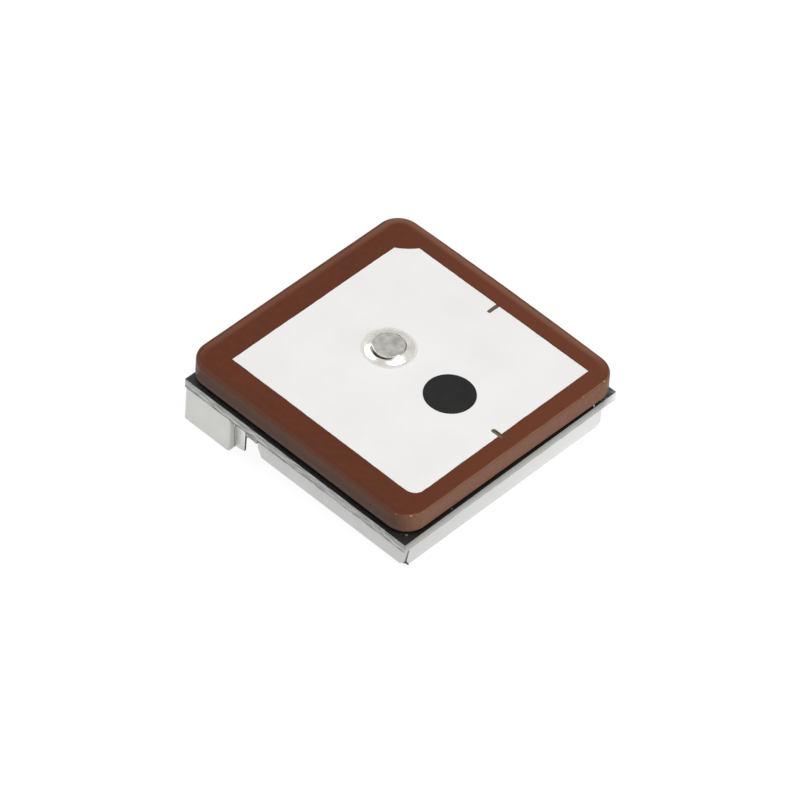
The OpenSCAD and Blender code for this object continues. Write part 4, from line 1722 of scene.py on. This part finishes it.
@dataclass
class Studio:
    """Camera, soft light, pale floor and white surroundings.

    Angles are in degrees and lengths in metres. The module stands on its connector and the far fold
    of its can, so the floor leans in the module's own frame.
    """

    azimuth: float = 40.22
    elevation: float = 46.39
    roll: float = 5.19
    distance: float = 0.47148
    shift_right: float = -0.24 * MM
    shift_up: float = -3.13 * MM
    focal_pixels: float = 5817.35
    picture_pixels: float = 800.0
    sensor: float = 36.0
    clip: Span = (0.01, 10.0)
    aim_x: float = 11.99 * MM
    aim_y: float = 12.88 * MM
    floor_half: float = 0.25
    floor_tone: Colour = (232, 232, 231)
    floor_glow: float = 0.93
    floor_shade: float = 0.1
    world_level: float = 0.2
    can_fold: float = 0.3 * MM
    lamps: tuple[Softbox, ...] = (
        Softbox("softbox_left", (-0.75, -0.20, 0.63), 0.45, 0.25, 0.52),
        Softbox("softbox_right", (0.48, 0.12, 0.87), 0.45, 0.28, 0.45),
        Softbox("fill_right", (0.95, 0.1, 0.28), 0.5, 0.25, 0.38),
        Softbox("fill_front", (0.35, -0.9, 0.26), 0.5, 0.25, 0.27),
    )

    def build(self) -> None:
        """Sets up the studio."""
        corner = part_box("circuit_board")[0]
        aim = Vector((corner.x + self.aim_x, corner.y + self.aim_y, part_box("ceramic_substrate")[1].z))
        self.camera(aim)
        for lamp in self.lamps:
            lamp.hang(aim)
        self.floor()
        self.world()
        bpy.context.scene.view_settings.view_transform = "Standard"

    def camera(self, aim: Vector) -> None:
        """The camera at the photograph's viewing angle.

        Args:
            aim: The point on the ceramic's face that the camera's place is measured from.
        """
        turn, lift, roll = (math.radians(a) for a in (self.azimuth, self.elevation, self.roll))
        back = Vector((math.sin(turn) * math.cos(lift), -math.cos(turn) * math.cos(lift), math.sin(lift)))
        right = Vector((math.cos(turn), math.sin(turn), 0.0))
        up = back.cross(right)
        across = right * math.cos(roll) + up * math.sin(roll)
        above = up * math.cos(roll) - right * math.sin(roll)
        eye = aim + back * self.distance + across * self.shift_right + above * self.shift_up
        data = bpy.data.cameras.new("camera")
        data.sensor_width = self.sensor
        data.lens = self.sensor * self.focal_pixels / self.picture_pixels
        data.clip_start, data.clip_end = self.clip
        camera = bpy.data.objects.new("camera", data)
        axes = Matrix((across, above, back)).transposed().to_4x4()
        camera.matrix_world = Matrix.Translation(eye) @ axes
        bpy.context.scene.collection.objects.link(camera)
        bpy.context.scene.camera = camera

    def floor(self) -> None:
        """The pale floor that the module leans on."""
        heel = Vector((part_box("connector_housing")[1].x, 0.0, 0.0))
        can_low, can_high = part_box("shield_can")
        toe = Vector((can_high.x - self.can_fold, 0.0, can_low.z))
        slope = (toe - heel).normalized()
        mesh = bmesh.new()
        bmesh.ops.create_grid(mesh, x_segments=1, y_segments=1, size=self.floor_half)
        lean = Matrix.Rotation(-math.atan2(slope.z, slope.x), 4, "Y")
        bmesh.ops.transform(mesh, matrix=Matrix.Translation(heel) @ lean, verts=mesh.verts)
        data = bpy.data.meshes.new("floor")
        mesh.to_mesh(data)
        mesh.free()
        data.materials.append(self.floor_material())
        floor = bpy.data.objects.new("floor", data)
        bpy.context.scene.collection.objects.link(floor)

    def floor_material(self) -> bpy.types.Material:
        """White to the camera and in reflections, plain pale to other light, clear from below.

        Returns:
            The floor's material.
        """
        shader = Shader("pale_floor")
        shader.tree.nodes.remove(shader.principled)
        plain = shader.node("BsdfDiffuse")
        plain.inputs["Color"].default_value = paint(self.floor_tone)
        faint = shader.node("BsdfDiffuse")
        faint.inputs["Color"].default_value = (self.floor_shade,) * 3 + (1.0,)
        glow = shader.node("Emission")
        glow.inputs["Strength"].default_value = self.floor_glow
        white = shader.node("AddShader")
        shader.feed(white.inputs[0], faint.outputs[0])
        shader.feed(white.inputs[1], glow.outputs[0])
        shown = self.blend(shader, shader.seen(), plain.outputs[0], white.outputs[0])
        clear = shader.node("BsdfTransparent")
        below = shader.node("NewGeometry").outputs["Backfacing"]
        output = shader.tree.nodes["Material Output"]
        shader.feed(output.inputs["Surface"], self.blend(shader, below, shown, clear.outputs[0]))
        return shader.material

    @staticmethod
    def blend(shader: Shader, share: Socket, first: Socket, second: Socket) -> Socket:
        """Mixes two shaders.

        Args:
            shader: The material's graph.
            share: 0 for the first shader and 1 for the second.
            first: A shader's output.
            second: A shader's output.

        Returns:
            The mixed output.
        """
        made = shader.node("MixShader")
        for index, value in enumerate((share, first, second)):
            shader.feed(made.inputs[index], value)
        return made.outputs[0]

    def world(self) -> None:
        """White surroundings that light the module gently."""
        world = bpy.data.worlds.new("surroundings")
        world.use_nodes = True
        bpy.context.scene.world = world
        graph = Graph(world.node_tree)
        background = graph.tree.nodes["Background"]
        background.inputs["Color"].default_value = WHITE
        level = graph.spread(graph.seen(), 0.0, 1.0, self.world_level, 1.0)
        graph.feed(background.inputs["Strength"], level)


def main() -> None:
    """Builds the studio and the module's sub-assemblies in order."""
    logging.basicConfig(level=logging.INFO, format="%(name)s: %(message)s")
    builders: tuple[Callable[[], object], ...] = (
        Studio, CeramicPatch, AntennaFeed, CircuitBoard, ShieldCan, WireConnector, ReceiverParts,
    )
    for builder in builders:
        builder().build()


if __name__ == "__main__":
    main()
